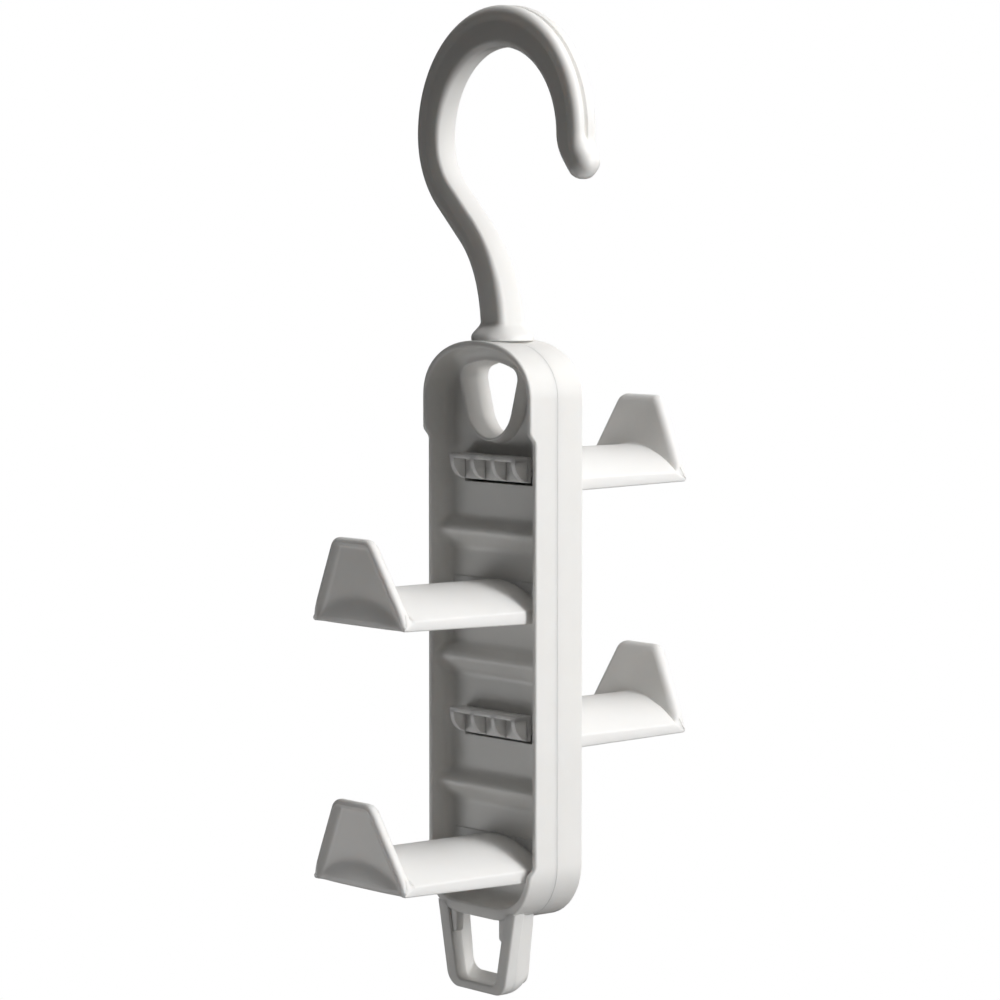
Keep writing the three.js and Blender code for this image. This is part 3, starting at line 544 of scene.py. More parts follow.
def shell_grids(outward, rim_at):
    """Grids of one shell: floor, head ring, their backs, the wall carried round it and the openings' edges.

    The head ring's rows run from the hole to the wall, crowded over the sleeve by a power of their share.
    """
    # The floor and its back, with the windows left open.
    hair = 0.01
    columns, heights, openings = floor_rows()
    turn = floor_turn(heights)
    corner_x = floor_half - floor_corner + floor_corner * np.cos(turn)
    half = np.where(heights < side_foot, corner_x, floor_half)
    reach = columns / columns.max()
    outer_share = np.clip((np.abs(columns) - WINDOW_HALF) / (columns.max() - WINDOW_HALF), 0, 1)
    side_x = np.where(outer_share > 0, blend(WINDOW_HALF, half, outer_share), np.abs(columns))
    tail = np.arange(len(heights))[:, None] > openings[-1][1]
    x = np.where(tail, reach * half, np.sign(columns) * side_x)
    kept = np.ones((len(heights) - 1, len(columns) - 1), bool)
    left, right = np.searchsorted(columns, [-WINDOW_HALF - hair, WINDOW_HALF - hair])
    for top_row, sill_row in openings:
        kept[top_row:sill_row, left:right] = False
    floor = as_points(x, outward * floor_depth(x, heights), heights)
    back = as_points(x, 0, heights)
    grids = [(floor, False, kept), (back, False, kept)]

    # The edge of each window, from the floor through to the back.
    for top_row, sill_row in openings:
        rows = np.arange(top_row, sill_row + 1)
        across = np.arange(left, right + 1)
        row_numbers = np.concatenate([np.full(len(across), top_row), rows[1:],
                                      np.full(len(across) - 1, sill_row), rows[-2:0:-1]])
        column_numbers = np.concatenate([across, np.full(len(rows) - 1, right),
                                         across[-2::-1], np.full(len(rows) - 2, left)])
        edge = np.stack([floor[row_numbers, column_numbers], back[row_numbers, column_numbers]])
        grids.append((edge, True, None))

    # The ring round the head's hole, out to the foot of the wall.
    side = heights[:, -1]
    loop = side_loop(side, floor_inset, floor_inset + bottom_extra, reach)
    head_start, head_end = len(columns) - 2 + len(side) - 1, len(loop) - len(side) + 1
    head_edge = np.concatenate([loop[head_start:head_end], as_points(x[0, 1:-1], heights[0, 1:-1])])
    offset = head_edge - [0, hole_middle]
    around = np.arctan2(offset[:, 1], offset[:, 0])
    far = np.hypot(offset[:, 0], offset[:, 1])
    near = hole_reach(around)
    fine = np.concatenate([np.linspace(0, SLEEVE_ROUND, 6), np.linspace(SLEEVE_FLAT, SLEEVE_FOOT, 8)])
    step = np.concatenate([fine, np.full(10, np.inf)])[:, None]
    gap = np.minimum(step, (far - near) * (np.linspace(0, 1, len(step)) ** RING_CROWDING)[:, None])
    ring_x = (near + gap) * np.cos(around)
    ring_z = hole_middle + (near + gap) * np.sin(around)
    ring_depth = head_depth(gap, ring_x, ring_z)
    ring = as_points(ring_x, outward * ring_depth, ring_z)
    ring_back = as_points(ring_x, 0, ring_z)
    grids += [(ring, True, None), (ring_back, True, None), (np.stack([ring[0], ring_back[0]]), True, None)]

    # The wall, carried round from the seam over the rim to the floor.
    floor_edge = floor_depth(loop[:, 0], loop[:, 1])
    floor_edge[head_start:head_end] = ring_depth[-1, :head_end - head_start]
    rim = rim_at(side_loop(side, 0, 0, reach)[:, 1])
    wall = []
    for number, (inset, depth) in enumerate(wall_profile(rim, floor_edge)):
        thick = bottom_extra if number == 0 or inset >= WALL - RIM_ROUND else 0
        line = side_loop(side, inset, inset + thick, reach)
        z = sunk_seat(line[:, 0], depth, line[:, 1]) if inset == 0 else line[:, 1]
        wall.append(as_points(line[:, 0], outward * depth, z))
    grids.append((np.stack(wall), True, None))
    return grids


def front_rim(z):
    """Rim of the front shell, lower between its head and tail, with a smooth ramp at either end."""
    head = smooth((z - (body_top - HEAD_RIM_LENGTH - RIM_STEP_RUN)) / RIM_STEP_RUN)
    tail = smooth((body_bottom + TAIL_RIM_LENGTH + RIM_STEP_RUN - z) / RIM_STEP_RUN)
    return front_depth - RIM_STEP * (1 - np.maximum(head, tail))


def rear_rim(z):
    """Rim of the rear shell, level all round."""
    return rear_depth + 0 * z


# Loop
# A hanging eye below the front shell, part of the same moulding: a flat front frame with a thinner curved
# wall behind it, set in a little at the top, and two round-ended stops under the body.
LOOP_HEIGHT = body_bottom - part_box("front_shell")[0].z / MM
LOOP_OVERLAP = 1.0
LOOP_TOP_HALF = 23.0
LOOP_FOOT_HALF = 17.0
LOOP_CORNER = 7.0
LOOP_STRUT = 6.2
LOOP_BAR = 3.6
LOOP_FRAME_DEPTH = 5.4
LOOP_DEPTH = 12.6
LOOP_WALL = 2.4
LOOP_WALL_STEP = 2.2
LOOP_WALL_CORNER = 2.5
LOOP_REAR_ROUND = 7.0
LOOP_EDGE_ROUND = 0.8
TAB_REACH = 4.0
TAB_LENGTH = 8.2
TAB_ROUND = 1.8
TAB_EDGE_ROUND = 0.5
TAB_DEPTH = 3.5
TAB_SETBACK = 1.0

loop_foot = body_bottom - LOOP_HEIGHT
loop_head = body_bottom + BOTTOM_WALL - LOOP_OVERLAP


def loop_outline(top_half, inset, foot_z, radius):
    """U-shaped outline: a straight side that closes downwards, an arc, a flat foot and their mirror."""
    slope = (top_half - LOOP_FOOT_HALF) / LOOP_HEIGHT
    tilt = np.arctan(slope)
    half = LOOP_FOOT_HALF - inset + (foot_z + radius - loop_foot) * slope
    centre_x = half - radius / np.cos(tilt)
    bow = np.linspace(-np.pi / 2, -tilt, 15)
    corner = as_points(centre_x + radius * np.cos(bow), foot_z + radius + radius * np.sin(bow))
    top = np.array([LOOP_FOOT_HALF - inset + (loop_head - loop_foot) * slope, loop_head])
    side = np.linspace(corner[-1], top, 20)[1:]
    right = np.concatenate([corner, side])
    flat = np.linspace(right[0] * [-1, 1], right[0], 10)[1:-1]
    return np.concatenate([right[::-1] * [-1, 1], flat, right])


def loop_band(top_half, section):
    """Closed section carried along the U: each corner has a depth, an inset, a foot's rise and a radius."""
    lines = []
    for depth, inset, rise, radius in section:
        line = loop_outline(top_half, inset, loop_foot + rise, radius)
        lines.append(as_points(line[:, 0], -depth, line[:, 1]))
    band = np.stack(lines, axis=1)
    ends = [np.broadcast_to(band[end].mean(axis=0), band[end].shape) for end in (0, -1)]
    return np.concatenate([ends[0][None], band, ends[1][None]])


def frame_section():
    """Rounded rectangle from the frame's front to its back, thinner at the foot than at the struts."""
    front, back = front_depth, front_depth - LOOP_FRAME_DEPTH
    start, end = quarter_round(LOOP_EDGE_ROUND, 5)
    depth = np.concatenate([front - end, front - start, back + end, back + start])
    drawn = np.concatenate([start, end, start, end])
    outside = np.repeat([True, False, False, True], len(start))
    inset = np.where(outside, drawn, LOOP_STRUT - drawn)
    rise = np.where(outside, drawn, LOOP_BAR - drawn)
    return as_points(depth, inset, rise, np.where(outside, LOOP_CORNER, LOOP_CORNER - LOOP_BAR))


def wall_section():
    """Thin wall behind the frame, with a foot that curls up to the rear on an arc and a round rear edge."""
    front, back = front_depth - LOOP_FRAME_DEPTH + LOOP_OVERLAP, front_depth - LOOP_DEPTH
    half = LOOP_WALL / 2
    depth = np.linspace(front, back + half, 12)
    past = np.clip((back + LOOP_REAR_ROUND - depth) / LOOP_REAR_ROUND, 0, 1)
    rise = LOOP_REAR_ROUND * (1 - np.sqrt(1 - past**2))
    bow = np.linspace(-np.pi / 2, np.pi / 2, 7)[1:-1]
    inset = half + half * np.sin(bow)
    outer = as_points(depth, 0.0, rise, LOOP_CORNER)
    edge = as_points(depth[-1] - half * np.cos(bow), inset, rise[-1] + inset, LOOP_CORNER - half)
    inner = as_points(depth, LOOP_WALL, rise + LOOP_WALL, LOOP_WALL_CORNER)
    return np.concatenate([outer, edge, inner[::-1]])


def prism(outline, low, high, rounding, axis):
    """Closed outline carried from a low to a high level along an axis, its end edges quarter circles."""
    ahead, behind = np.roll(outline, -1, axis=0), np.roll(outline, 1, axis=0)
    along = ahead - behind
    along /= np.linalg.norm(along, axis=1, keepdims=True)
    area = np.sum(outline[:, 0] * ahead[:, 1] - ahead[:, 0] * outline[:, 1])
    outward = as_points(along[:, 1], -along[:, 0]) * np.sign(area)
    lift, drawn = quarter_round(rounding, 5)
    level = np.concatenate([[low], low + lift, high - lift[::-1], [high]])[:, None]
    drawn = np.concatenate([drawn, drawn[::-1]])
    rings = outline[None] - outward[None] * drawn[:, None, None]
    middle = np.broadcast_to(outline.mean(axis=0), (1, *outline.shape))
    rings = np.concatenate([middle, rings, middle])
    across, up = rings[..., 0], rings[..., 1]
    return as_points(level, across, up) if axis == "x" else as_points(across, level, up)


def rounded_box_outline(low, high, radius):
    """Rectangle between two corners with a quarter circle at each of its own, from the upper right round."""
    turn = np.linspace(0, np.pi / 2, 5) + np.pi / 2 * np.arange(4)[:, None]
    centre_x = np.where([True, False, False, True], high[0] - radius, low[0] + radius)[:, None]
    centre_z = np.where([True, True, False, False], high[1] - radius, low[1] + radius)[:, None]
    return as_points(centre_x + radius * np.cos(turn), centre_z + radius * np.sin(turn)).reshape(-1, 2)


tab_inner = LOOP_TOP_HALF - LOOP_STRUT - TAB_REACH
tab_outer = LOOP_TOP_HALF - LOOP_WALL_STEP - LOOP_WALL / 2
tab_outline = rounded_box_outline((tab_inner, body_bottom - TAB_LENGTH), (tab_outer, loop_head), TAB_ROUND)
tab_y = -front_depth + TAB_SETBACK
tab = prism(tab_outline, tab_y, tab_y + TAB_DEPTH, TAB_EDGE_ROUND, "y")
loop_grids = [(loop_band(LOOP_TOP_HALF, frame_section()), True, None),
              (loop_band(LOOP_TOP_HALF - LOOP_WALL_STEP, wall_section()), True, None),
              (tab, True, None), (tab * [-1, 1, 1], True, None)]

# The loop belongs to the front shell's moulding, so both shells are put together here.
shell_plastic = moulded_polypropylene("satin_polypropylene_shell", "#f2f1ef", "#ebeae7", 0.42, 0.6, 3)
front_grids = shell_grids(-1, front_rim) + loop_grids
rear_grids = shell_grids(1, rear_rim)
make_piece("front_shell_moulding", front_grids, shell_plastic, "rack", "front_shell")
make_piece("rear_shell_moulding", rear_grids, shell_plastic, "rack", "rear_shell")

# Saddle arms
# Four copies of one moulding, two to the front and two to the rear: an arched saddle, hollow underneath, that
# turns up into a leaning end plate, with a tongue whose shelf and claws lock behind the far web.
SADDLE_THICKNESS = 3.0
SIDE_WALL = 2.4
ROOT_WALL = 3.0
ROOT_BITE = 0.2
ROOT_CAP_LIFT = 2.0
ROOT_PLATE = 0.7
ROOT_PLATE_HALF = 26.5
ROOT_PLATE_LIFT = 1.0
ROOT_PLATE_ROUND = 0.25
PLATE_HEIGHT = 33.4
PLATE_THICKNESS = 4.8
PLATE_LEAN = np.radians(6.4)
PLATE_FOOT = 4.2
PLATE_FOOT_SOFTNESS = 1.5
PLATE_SIDE = np.radians(29.8)
PLATE_CORNER = 6.0
PLATE_INNER_ROUND = 2.9
PLATE_OUTER_ROUND = 1.7
PLATE_FILLET = 1.2
SADDLE_ROUND = 1.0
FLANGE_ROUND = 0.6
FOOT_ROUND = 1.0
DISH_DEPTH = 1.6
DISH_SIDE_RUN = 4.2
DISH_TOP_RUN = 2.2
ARCH_DROP = 3.6
ARCH_SOFTNESS = 1.2
APRON_BULGE = 1.5
APRON_RUN = 9.0
POCKET_DRAFT = 0.5
TONGUE_WIDTH = 40.6
TONGUE_GAP = 0.3
TONGUE_ROUND = 0.35
TONGUE_TUCK = 0.1
NECK_THICKNESS = 2.2
NECK_INSET = 0.4
LIP_THICKNESS = 2.0
SHELF_DROP = 1.3
SHELF_THICKNESS = 2.0
SHELF_ROUND = 0.6
CLAW_COUNT = 4
CLAW_PITCH = 12.5
CLAW_THICKNESS = 2.5
CLAW_LENGTH = 8.0
CLAW_HEIGHT = 8.2
JOIN_DEPTH = 1.0
JOIN_SETBACK = 0.5
JOIN_TUCK = 0.2
SADDLE_ROWS = 26
FOLD_ROWS = 7
PLATE_ROWS = 32
PLATE_ROUND_ROWS = 6
CORNER_ROWS = 16

arm_half = ARM_WIDTH / 2
root_y = -WEB + ROOT_BITE
root_z = -SADDLE_RISE - EDGE_HEIGHT_ROOT
foot_z = -SADDLE_RISE - EDGE_HEIGHT_TIP
plate_row = SADDLE_ROWS + FOLD_ROWS


def plate_point(x, height, inward):
    """Point of the leaning plate from its place across, height up the slope and depth from the outside."""
    y = -ARM_REACH + inward * np.cos(PLATE_LEAN) - height * np.sin(PLATE_LEAN)
    z = foot_z + inward * np.sin(PLATE_LEAN) + height * np.cos(PLATE_LEAN)
    return as_points(x, y, z)


def plate_half(height, inset):
    """Half width of the plate at a height, drawn in by an inset: the lesser of an upright and a closing side.

    The two are blended by the root of their squared distance plus a squared softness.
    """
    upright = arm_half - inset
    sloped = arm_half - inset / np.cos(PLATE_SIDE) - (height - PLATE_FOOT) * np.tan(PLATE_SIDE)
    apart = sloped - upright
    return (upright + sloped - np.sqrt(apart**2 + PLATE_FOOT_SOFTNESS**2)) / 2


corner_height = PLATE_HEIGHT / np.cos(PLATE_LEAN) - PLATE_CORNER
corner_side = plate_half(corner_height + PLATE_CORNER * np.sin(PLATE_SIDE), 0)
corner_x = corner_side - PLATE_CORNER * np.cos(PLATE_SIDE)
corner_turn = np.linspace(PLATE_SIDE, np.pi / 2, CORNER_ROWS + 1)[1:]


def edge_rounds(saddle_round, plate_round):
    """Edge rounding row by row: the saddle's along it, changing to the plate's over the fold and its foot."""
    change = smooth(np.linspace(0, 1, FOLD_ROWS + PLATE_ROUND_ROWS + 1)[1:])
    full = np.ones(PLATE_ROWS - PLATE_ROUND_ROWS + CORNER_ROWS)
    share = np.concatenate([np.zeros(SADDLE_ROWS), change, full])
    return blend(saddle_round, plate_round, share)[:, None]


def saddle_side(share):
    """Upper and inner side of an arm over shares of its half width: saddle, cove and plate in rows.

    Each column runs level on the arch, turns up on a circle's arc and climbs the leaning plate.
    """
    rounds = edge_rounds(SADDLE_ROUND, PLATE_INNER_ROUND)
    drawn = SADDLE_ROUND * (1 - arm_half / SADDLE_RADIUS)
    x = share[None, :] * (arm_half - drawn)
    level = -saddle_drop(x)
    meet = (level - foot_z - PLATE_THICKNESS * np.sin(PLATE_LEAN)) / np.cos(PLATE_LEAN)
    meet_y = -ARM_REACH + PLATE_THICKNESS * np.cos(PLATE_LEAN) - meet * np.sin(PLATE_LEAN)
    bend = np.pi / 2 - PLATE_LEAN
    tangent = PLATE_FILLET * np.tan(bend / 2)
    along = np.linspace(0, 1, SADDLE_ROWS)[:, None]
    saddle = as_points(x, blend(root_y, meet_y + tangent, along), level)

    # The cove
    turn = np.linspace(0, bend, FOLD_ROWS + 1)[1:, None]
    climb = meet + tangent
    fold_x = blend(x, share * plate_half(climb, rounds[plate_row - 1]), smooth(turn / bend))
    fold_y = meet_y + tangent - PLATE_FILLET * np.sin(turn)
    fold_z = level + PLATE_FILLET * (1 - np.cos(turn))
    fold = as_points(fold_x, fold_y, fold_z)

    # The plate and its top corner
    inner = PLATE_CORNER - PLATE_INNER_ROUND
    side_end = corner_height + inner * np.sin(PLATE_SIDE)
    height = blend(climb, side_end, np.linspace(0, 1, PLATE_ROWS + 1)[1:, None])
    half = plate_half(height, rounds[plate_row:plate_row + PLATE_ROWS])
    plate = plate_point(share * half, height, PLATE_THICKNESS)
    round_half = (corner_x + inner * np.cos(corner_turn))[:, None]
    round_height = (corner_height + inner * np.sin(corner_turn))[:, None]
    corner = plate_point(share * round_half, round_height, PLATE_THICKNESS)
    return np.concatenate([saddle, fold, plate, corner])


def dish_depth(x, height):
    """Depth of the plate's outer face: a dish inside a curved border, with an apron bulging below the arch.

    The border's run is measured square to the plate's side, round its corner and down from its top edge.
    Border and apron are quarter waves of a parabola, steep at the rim and at the arch.
    """
    inner = PLATE_CORNER - PLATE_OUTER_ROUND
    beside, above = np.abs(x) - corner_x, height - corner_height
    around = np.clip(np.arctan2(above, beside), PLATE_SIDE, np.pi / 2)
    corner_run = blend(DISH_SIDE_RUN, DISH_TOP_RUN, (around - PLATE_SIDE) / (np.pi / 2 - PLATE_SIDE))
    at_corner = (inner - np.hypot(beside, above)) / corner_run
    at_side = (plate_half(height, PLATE_OUTER_ROUND) - np.abs(x)) * np.cos(PLATE_SIDE) / DISH_SIDE_RUN
    at_top = (inner - above) / DISH_TOP_RUN
    under_corner = above < np.maximum(beside, 0) * np.tan(PLATE_SIDE)
    border = np.where(under_corner, at_side, np.where(beside > 0, at_corner, at_top))
    arch = (-saddle_drop(np.minimum(np.abs(x), arm_half)) - ARCH_DROP - foot_z) / np.cos(PLATE_LEAN)
    below = arch - height
    apron = (below + np.sqrt(below**2 + ARCH_SOFTNESS**2)) / (2 * APRON_RUN)
    dish = 1 - (1 - np.clip(border, 0, 1)) ** 2
    bulge = 1 - (1 - np.clip(apron, 0, 1)) ** 2
    return dish * (DISH_DEPTH - APRON_BULGE * bulge)


def under_side(across, crease):
    """Lower and outer side of an arm at places across its half width, in the same rows as its upper side.

    The saddle's underside is a pocket below the arch. On the plate the columns up to the crease keep inside
    the dish's border, and the rest lie on the border, whose run is measured square to the plate's side.
    """
    root_end, foot_end = -WEB - ROOT_WALL, -ARM_REACH + PLATE_THICKNESS
    heels = [root_y, root_end + POCKET_DRAFT, root_end]
    toes = [foot_end, foot_end - POCKET_DRAFT, -ARM_REACH + FOOT_ROUND]
    between = np.linspace(root_end, foot_end, SADDLE_ROWS - len(heels) - len(toes) + 2)[1:-1]
    y = np.concatenate([heels, between, toes])[:, None]
    x = across[None, :] * (arm_half - FLANGE_ROUND)
    foot_depth = dish_depth(x, FOOT_ROUND)
    y = np.where(np.arange(SADDLE_ROWS)[:, None] == SADDLE_ROWS - 1, y + foot_depth, y)
    flange = blend(root_z, foot_z, -y / ARM_REACH)
    ceiling = -saddle_drop(x) - SADDLE_THICKNESS
    inside_x = np.clip((arm_half - SIDE_WALL - np.abs(x)) / POCKET_DRAFT, 0, 1)
    inside_y = np.clip((root_end + POCKET_DRAFT - y) / POCKET_DRAFT, 0, 1)
    inside_y = inside_y * np.clip((y - foot_end + POCKET_DRAFT) / POCKET_DRAFT, 0, 1)
    under = as_points(x, y, blend(flange, ceiling, inside_x * inside_y))

    # The round foot of the plate
    rise, drawn = (step[1:, None] for step in quarter_round(FOOT_ROUND, FOLD_ROWS + 1))
    fold = as_points(x, -ARM_REACH + drawn + foot_depth, foot_z + rise)

    # The plate's outer face
    inner = PLATE_CORNER - PLATE_OUTER_ROUND
    side_end = corner_height + inner * np.sin(PLATE_SIDE)
    height = np.linspace(FOOT_ROUND, side_end, PLATE_ROWS + 1)[1:, None]
    rounds = edge_rounds(FLANGE_ROUND, PLATE_OUTER_ROUND)
    half = plate_half(height, rounds[plate_row:plate_row + PLATE_ROWS])
    height = np.concatenate([height, (corner_height + inner * np.sin(corner_turn))[:, None]])
    half = np.concatenate([half, (corner_x + inner * np.cos(corner_turn))[:, None]])
    border = DISH_SIDE_RUN / np.cos(PLATE_SIDE)
    corner_share = 1 - border / plate_half(side_end, PLATE_OUTER_ROUND)
    dish_half = np.where(height < side_end, half - border, half * corner_share)
    outer_share = np.clip((across - across[crease]) / (1 - across[crease]), 0, 1)
    inner_share = np.minimum(across / across[crease], 1)
    x = np.where(outer_share > 0, blend(dish_half, half, outer_share), inner_share * dish_half)
    plate = plate_point(x, height, dish_depth(x, height))
    return np.concatenate([under, fold, plate])


def edge_columns(upper, lower):
    """Rounded edge between the two sides' last columns: two quarter circles with a flat face between them.

    Their directions, down the face and out along its normal, turn with the fold and round the plate's corner.
    """
    fold = smooth(np.linspace(0, 1, FOLD_ROWS + 1)[1:])
    share = np.concatenate([np.zeros(SADDLE_ROWS), fold, np.ones(PLATE_ROWS + CORNER_ROWS)])
    facing = blend(np.pi / 2, np.pi - PLATE_LEAN, share)
    down = as_points(0, np.cos(facing), -np.sin(facing))
    climb = as_points(0, -np.sin(facing), -np.cos(facing))
    tilt = np.concatenate([PLATE_SIDE * share[:-CORNER_ROWS], corner_turn])[:, None]
    outward = np.cos(tilt) * [1, 0, 0] + np.sin(tilt) * climb
    start = (np.arcsin(arm_half / SADDLE_RADIUS) * (1 - share))[:, None]
    upper_round = edge_rounds(SADDLE_ROUND, PLATE_INNER_ROUND)
    lower_round = edge_rounds(FLANGE_ROUND, PLATE_OUTER_ROUND)
    upper_centre = upper - upper_round * (np.sin(start) * outward - np.cos(start) * down)
    lower_centre = lower - lower_round * down
    columns = []
    for part in np.linspace(0, 1, 6)[1:]:
        turn = blend(start, np.pi / 2, part)
        columns.append(upper_centre + upper_round * (np.sin(turn) * outward - np.cos(turn) * down))
    for turn in np.linspace(np.pi / 2, 0, 6)[:-1]:
        columns.append(lower_centre + lower_round * (np.sin(turn) * outward + np.cos(turn) * down))
    return np.stack(columns, axis=1)


def arm_grids():
    """Closed skin of an arm: upper side, edge, lower side and their mirror, capped at root and top."""
    share = np.sin(np.linspace(0, np.pi / 2, 22))
    pocket = arm_half - SIDE_WALL
    floor = np.linspace(0, pocket - POCKET_DRAFT, 22)
    across = np.concatenate([floor, np.linspace(pocket, arm_half, 9)]) / arm_half
    upper = saddle_side(share)
    lower = under_side(across, len(floor) - 1)
    edge = edge_columns(upper[:, -1], lower[:, -1])
    half = np.concatenate([upper, edge, lower[:, ::-1]], axis=1)
    skin = np.concatenate([half, half[:, -2:0:-1] * [-1, 1, 1]], axis=1)
    root = np.broadcast_to([0, root_y, -SADDLE_RISE + ROOT_CAP_LIFT], skin[:1].shape)
    top = half[-1, len(share) - 1:len(share) + edge.shape[1] + 1]
    spread = np.linspace(1, -1, 2 * len(share) - 1)[:, None]
    cap = as_points(top[:, 0] * spread, top[:, 1], top[:, 2])
    return [(np.concatenate([root, skin]), True, None), (cap, False, None)]


def tongue_grids():
    """Thin root plate, neck through the windows, and the lip and shelf behind the far web with its claws.

    Each is an outline carried across the arm. A claw's side is a quarter of an ellipse.
    """
    half = TONGUE_WIDTH / 2
    near = WEB + TONGUE_GAP
    face = near + LIP_THICKNESS
    far = near + CLAW_LENGTH
    shelf_foot = -SHELF_DROP - SHELF_THICKNESS
    claw_foot = shelf_foot - CLAW_HEIGHT
    neck_top = -saddle_drop(WINDOW_HALF, WINDOW_COVER) - TONGUE_GAP
    neck_foot = neck_top - NECK_THICKNESS
    seat_low = (-WEB - ROOT_PLATE, root_z + ROOT_PLATE_LIFT)
    seat = rounded_box_outline(seat_low, (root_y, -TONGUE_TUCK), ROOT_PLATE_ROUND)
    neck = rounded_box_outline((-WEB - JOIN_DEPTH, neck_foot), (face - JOIN_SETBACK, neck_top), TONGUE_ROUND)
    lip = rounded_box_outline((near, claw_foot), (face, -SHELF_DROP - TONGUE_TUCK), TONGUE_ROUND)
    shelf = rounded_box_outline((near + JOIN_TUCK, shelf_foot), (far, -SHELF_DROP), SHELF_ROUND)
    root = near + JOIN_SETBACK
    joint = shelf_foot + JOIN_DEPTH
    bow = np.linspace(-np.pi / 2, 0, 15)
    curve = as_points(root + (far - root) * np.cos(bow), shelf_foot + CLAW_HEIGHT * np.sin(bow))
    claw = np.concatenate([curve, [[far - JOIN_TUCK, joint], [root, joint]]])
    bars = [(seat, 0, ROOT_PLATE_HALF, ROOT_PLATE_ROUND), (neck, 0, half - NECK_INSET, TONGUE_ROUND),
            (lip, 0, half, TONGUE_ROUND), (shelf, 0, half - TONGUE_TUCK, TONGUE_ROUND)]
    for number in range(CLAW_COUNT):
        x = (number - (CLAW_COUNT - 1) / 2) * CLAW_PITCH
        bars.append((claw, x, CLAW_THICKNESS / 2, TONGUE_ROUND))
    solids = [prism(outline, x - reach, x + reach, rounding, "x") for outline, x, reach, rounding in bars]
    return [(solid, True, None) for solid in solids]


arm_plastic = moulded_polypropylene("satin_polypropylene_arm", "#f5f4f2", "#efeeec", 0.4, 0.6, 4)
arm_shape = arm_grids() + tongue_grids()
for name, crest in zip(arm_names, arm_crests):
    facing = np.array([-1, -1, 1]) if "rear" in name else np.ones(3)
    placed = [(grid * facing + [0, 0, crest], wraps, kept) for grid, wraps, kept in arm_shape]
    make_piece(name + "_moulding", placed, arm_plastic, "rack", name)

# Studio
# A white floor well below the hanging rack with a soft pool of light on it, and a camera at the photograph's
# angle. A tall soft light stands on the right, one hangs high above, and a small narrow one is low at the
# front left. The air is brighter to the rear right.
FLOOR_DROP = 0.26
FLOOR_SIZE = 60.0
FLOOR_GLOW = 0.45
FLOOR_GLOW_REACH = 0.75
FLOOR_GLOW_AHEAD = 0.3
FLOOR_GLOW_SQUEEZE = 2.0
AIR_DIM = 0.012
AIR_BRIGHT = 0.75
AIR_TOWARDS = (0.3, 0.9, 0.2)
AIR_DIM_TURN = -0.4
AIR_BRIGHT_TURN = 0.8
WARM_WHITE = "#fffdfb"
PURE_WHITE = "#ffffff"
RACK_MIDDLE = (0, 0, -0.18)
CHANNEL_MIDDLE = (0, 0, -0.24)
CAMERA_AZIMUTH = np.radians(50.21)
CAMERA_ELEVATION = np.radians(4.315)
CAMERA_DISTANCE = 1.4401
CAMERA_AIM_RIGHT = -0.000974
CAMERA_AIM_HEIGHT = -0.1757
CAMERA_LENS = 132.72
CAMERA_SENSOR = 36

floor_z = cad_box[0][2] - FLOOR_DROP
reach = FLOOR_SIZE / 2
floor_corners = [(-reach, -reach, floor_z), (reach, -reach, floor_z), (reach, reach, floor_z),
                 (-reach, reach, floor_z)]
floor_mesh = bpy.data.meshes.new("studio_floor")
floor_mesh.from_pydata(floor_corners, [], [(0, 1, 2, 3)])


def pale_floor_paint():
    """Matt white paint that the camera sees evenly pale and that lights the rack from a soft pool below."""
    paint = bpy.data.materials.new("matt_white_floor_paint")
    paint.use_nodes = True
    tree = paint.node_tree
    tree.nodes.clear()
    seen = add_node(tree, "ShaderNodeLightPath").outputs["Is Camera Ray"]
    place = add_node(tree, "ShaderNodeTexCoord").outputs["Object"]
    flat = add_node(tree, "ShaderNodeVectorMath", {"Vector": place}, {1: (FLOOR_GLOW_SQUEEZE, 1, 0)},
                    operation="MULTIPLY")
    away = add_node(tree, "ShaderNodeVectorMath", {"Vector": flat.outputs["Vector"]},
                    {1: (0, -FLOOR_GLOW_AHEAD, 0)}, operation="DISTANCE")
    pool = add_node(tree, "ShaderNodeMapRange", {"Value": away.outputs["Value"]}, {
        "From Min": 0.0, "From Max": FLOOR_GLOW_REACH, "To Min": FLOOR_GLOW, "To Max": AIR_DIM},
        interpolation_type="SMOOTHSTEP")
    glow = add_node(tree, "ShaderNodeEmission", {"Strength": pool.outputs["Result"]},
                    {"Color": linear(WARM_WHITE)})
    pale = add_node(tree, "ShaderNodeEmission", inputs={"Color": linear(PURE_WHITE), "Strength": 1.0})
    mixed = add_node(tree, "ShaderNodeMixShader", {
        "Fac": seen, 1: glow.outputs["Emission"], 2: pale.outputs["Emission"]})
    add_node(tree, "ShaderNodeOutputMaterial", {"Surface": mixed.outputs["Shader"]})
    return paint


floor_mesh.materials.append(pale_floor_paint())
studio_floor = bpy.data.objects.new("studio_floor", floor_mesh)
bpy.context.scene.collection.objects.link(studio_floor)


def soft_light(name, place, aim, size, power, beam=180):
    """Rectangular area light at a place, turned towards its aim, with its beam angle in degrees."""
    lamp = bpy.data.lights.new(name, "AREA")
    lamp.shape = "RECTANGLE"
    lamp.size, lamp.size_y = size
    lamp.energy = power
    lamp.spread = np.radians(beam)
    light = bpy.data.objects.new(name, lamp)
    light.location = place
    light.rotation_euler = (Vector(aim) - Vector(place)).to_track_quat("-Z", "Y").to_euler()
    bpy.context.scene.collection.objects.link(light)


soft_light("side_softbox", place=(1.25, 0.3, 0.0), aim=RACK_MIDDLE, size=(0.3, 1.5), power=14.0)
soft_light("top_softbox", place=(0.6, 0.14, 1.25), aim=RACK_MIDDLE, size=(0.35, 0.8), power=7.2)
soft_light("front_softbox", place=(-0.46, -0.46, -0.54), aim=CHANNEL_MIDDLE, size=(0.4, 0.3), power=0.12,
           beam=50)


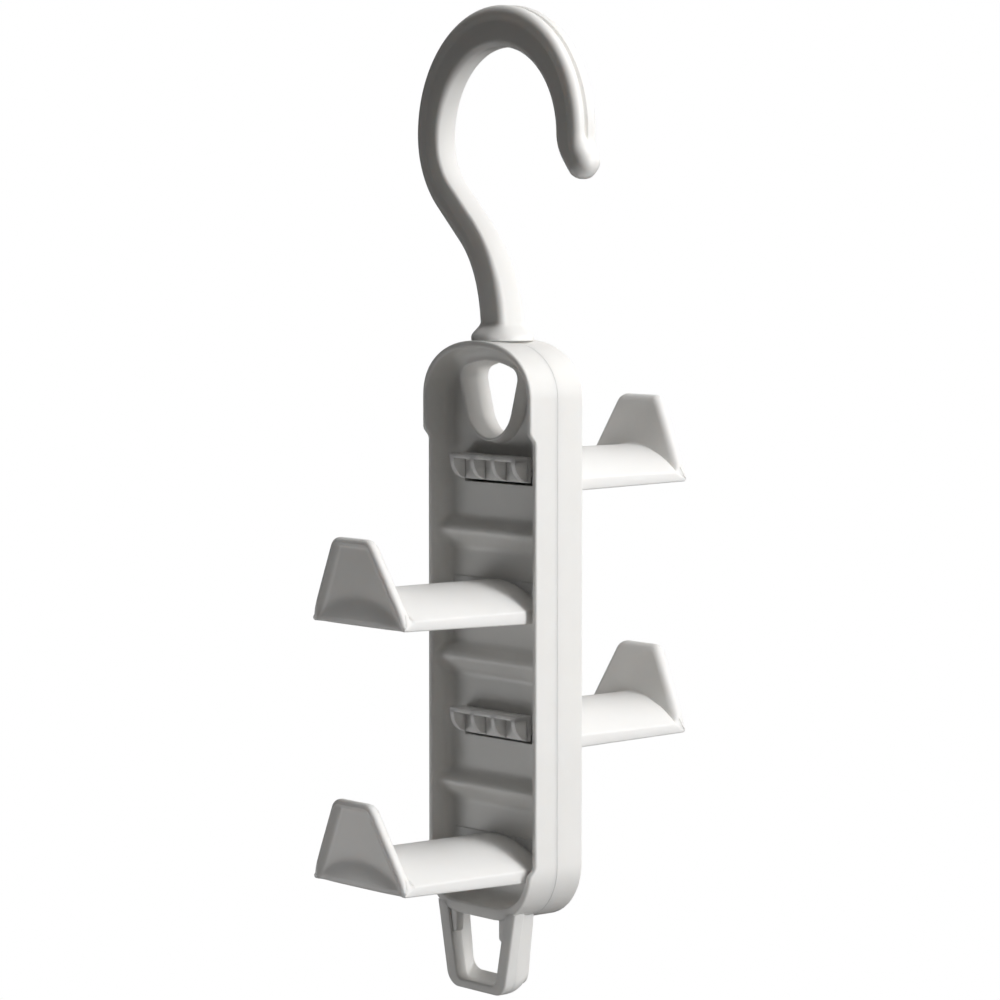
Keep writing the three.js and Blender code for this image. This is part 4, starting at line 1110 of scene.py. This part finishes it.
def studio_air():
    """Even white for the camera; as light, bright towards the rear right and dim at the front left."""
    world = bpy.data.worlds.new("studio_air")
    world.use_nodes = True
    air = world.node_tree
    air.nodes.clear()
    seen = add_node(air, "ShaderNodeLightPath").outputs["Is Camera Ray"]
    ray = add_node(air, "ShaderNodeTexCoord").outputs["Generated"]
    turned = add_node(air, "ShaderNodeVectorMath", {"Vector": ray}, {1: Vector(AIR_TOWARDS).normalized()},
                      operation="DOT_PRODUCT")
    side = add_node(air, "ShaderNodeMapRange", {"Value": turned.outputs["Value"]}, {
        "From Min": AIR_DIM_TURN, "From Max": AIR_BRIGHT_TURN, "To Min": AIR_DIM, "To Max": AIR_BRIGHT},
        interpolation_type="SMOOTHSTEP")
    fill = add_node(air, "ShaderNodeBackground", {"Strength": side.outputs["Result"]},
                    {"Color": linear(WARM_WHITE)})
    backdrop = add_node(air, "ShaderNodeBackground", inputs={"Color": linear(PURE_WHITE), "Strength": 1.0})
    mixed = add_node(air, "ShaderNodeMixShader", {
        "Fac": seen, 1: fill.outputs["Background"], 2: backdrop.outputs["Background"]})
    add_node(air, "ShaderNodeOutputWorld", {"Surface": mixed.outputs["Shader"]})
    return world


bpy.context.scene.world = studio_air()
bpy.context.scene.view_settings.view_transform = "Standard"

to_camera = Vector((np.sin(CAMERA_AZIMUTH) * np.cos(CAMERA_ELEVATION),
                    -np.cos(CAMERA_AZIMUTH) * np.cos(CAMERA_ELEVATION), np.sin(CAMERA_ELEVATION)))
to_right = Vector((np.cos(CAMERA_AZIMUTH), np.sin(CAMERA_AZIMUTH), 0))
aim = to_right * CAMERA_AIM_RIGHT + Vector((0, 0, CAMERA_AIM_HEIGHT))
lens = bpy.data.cameras.new("photo_camera")
lens.lens = CAMERA_LENS
lens.sensor_width = CAMERA_SENSOR
camera = bpy.data.objects.new("photo_camera", lens)
camera.location = aim + to_camera * CAMERA_DISTANCE
camera.rotation_euler = to_camera.to_track_quat("Z", "Y").to_euler()
bpy.context.scene.collection.objects.link(camera)
bpy.context.scene.camera = camera
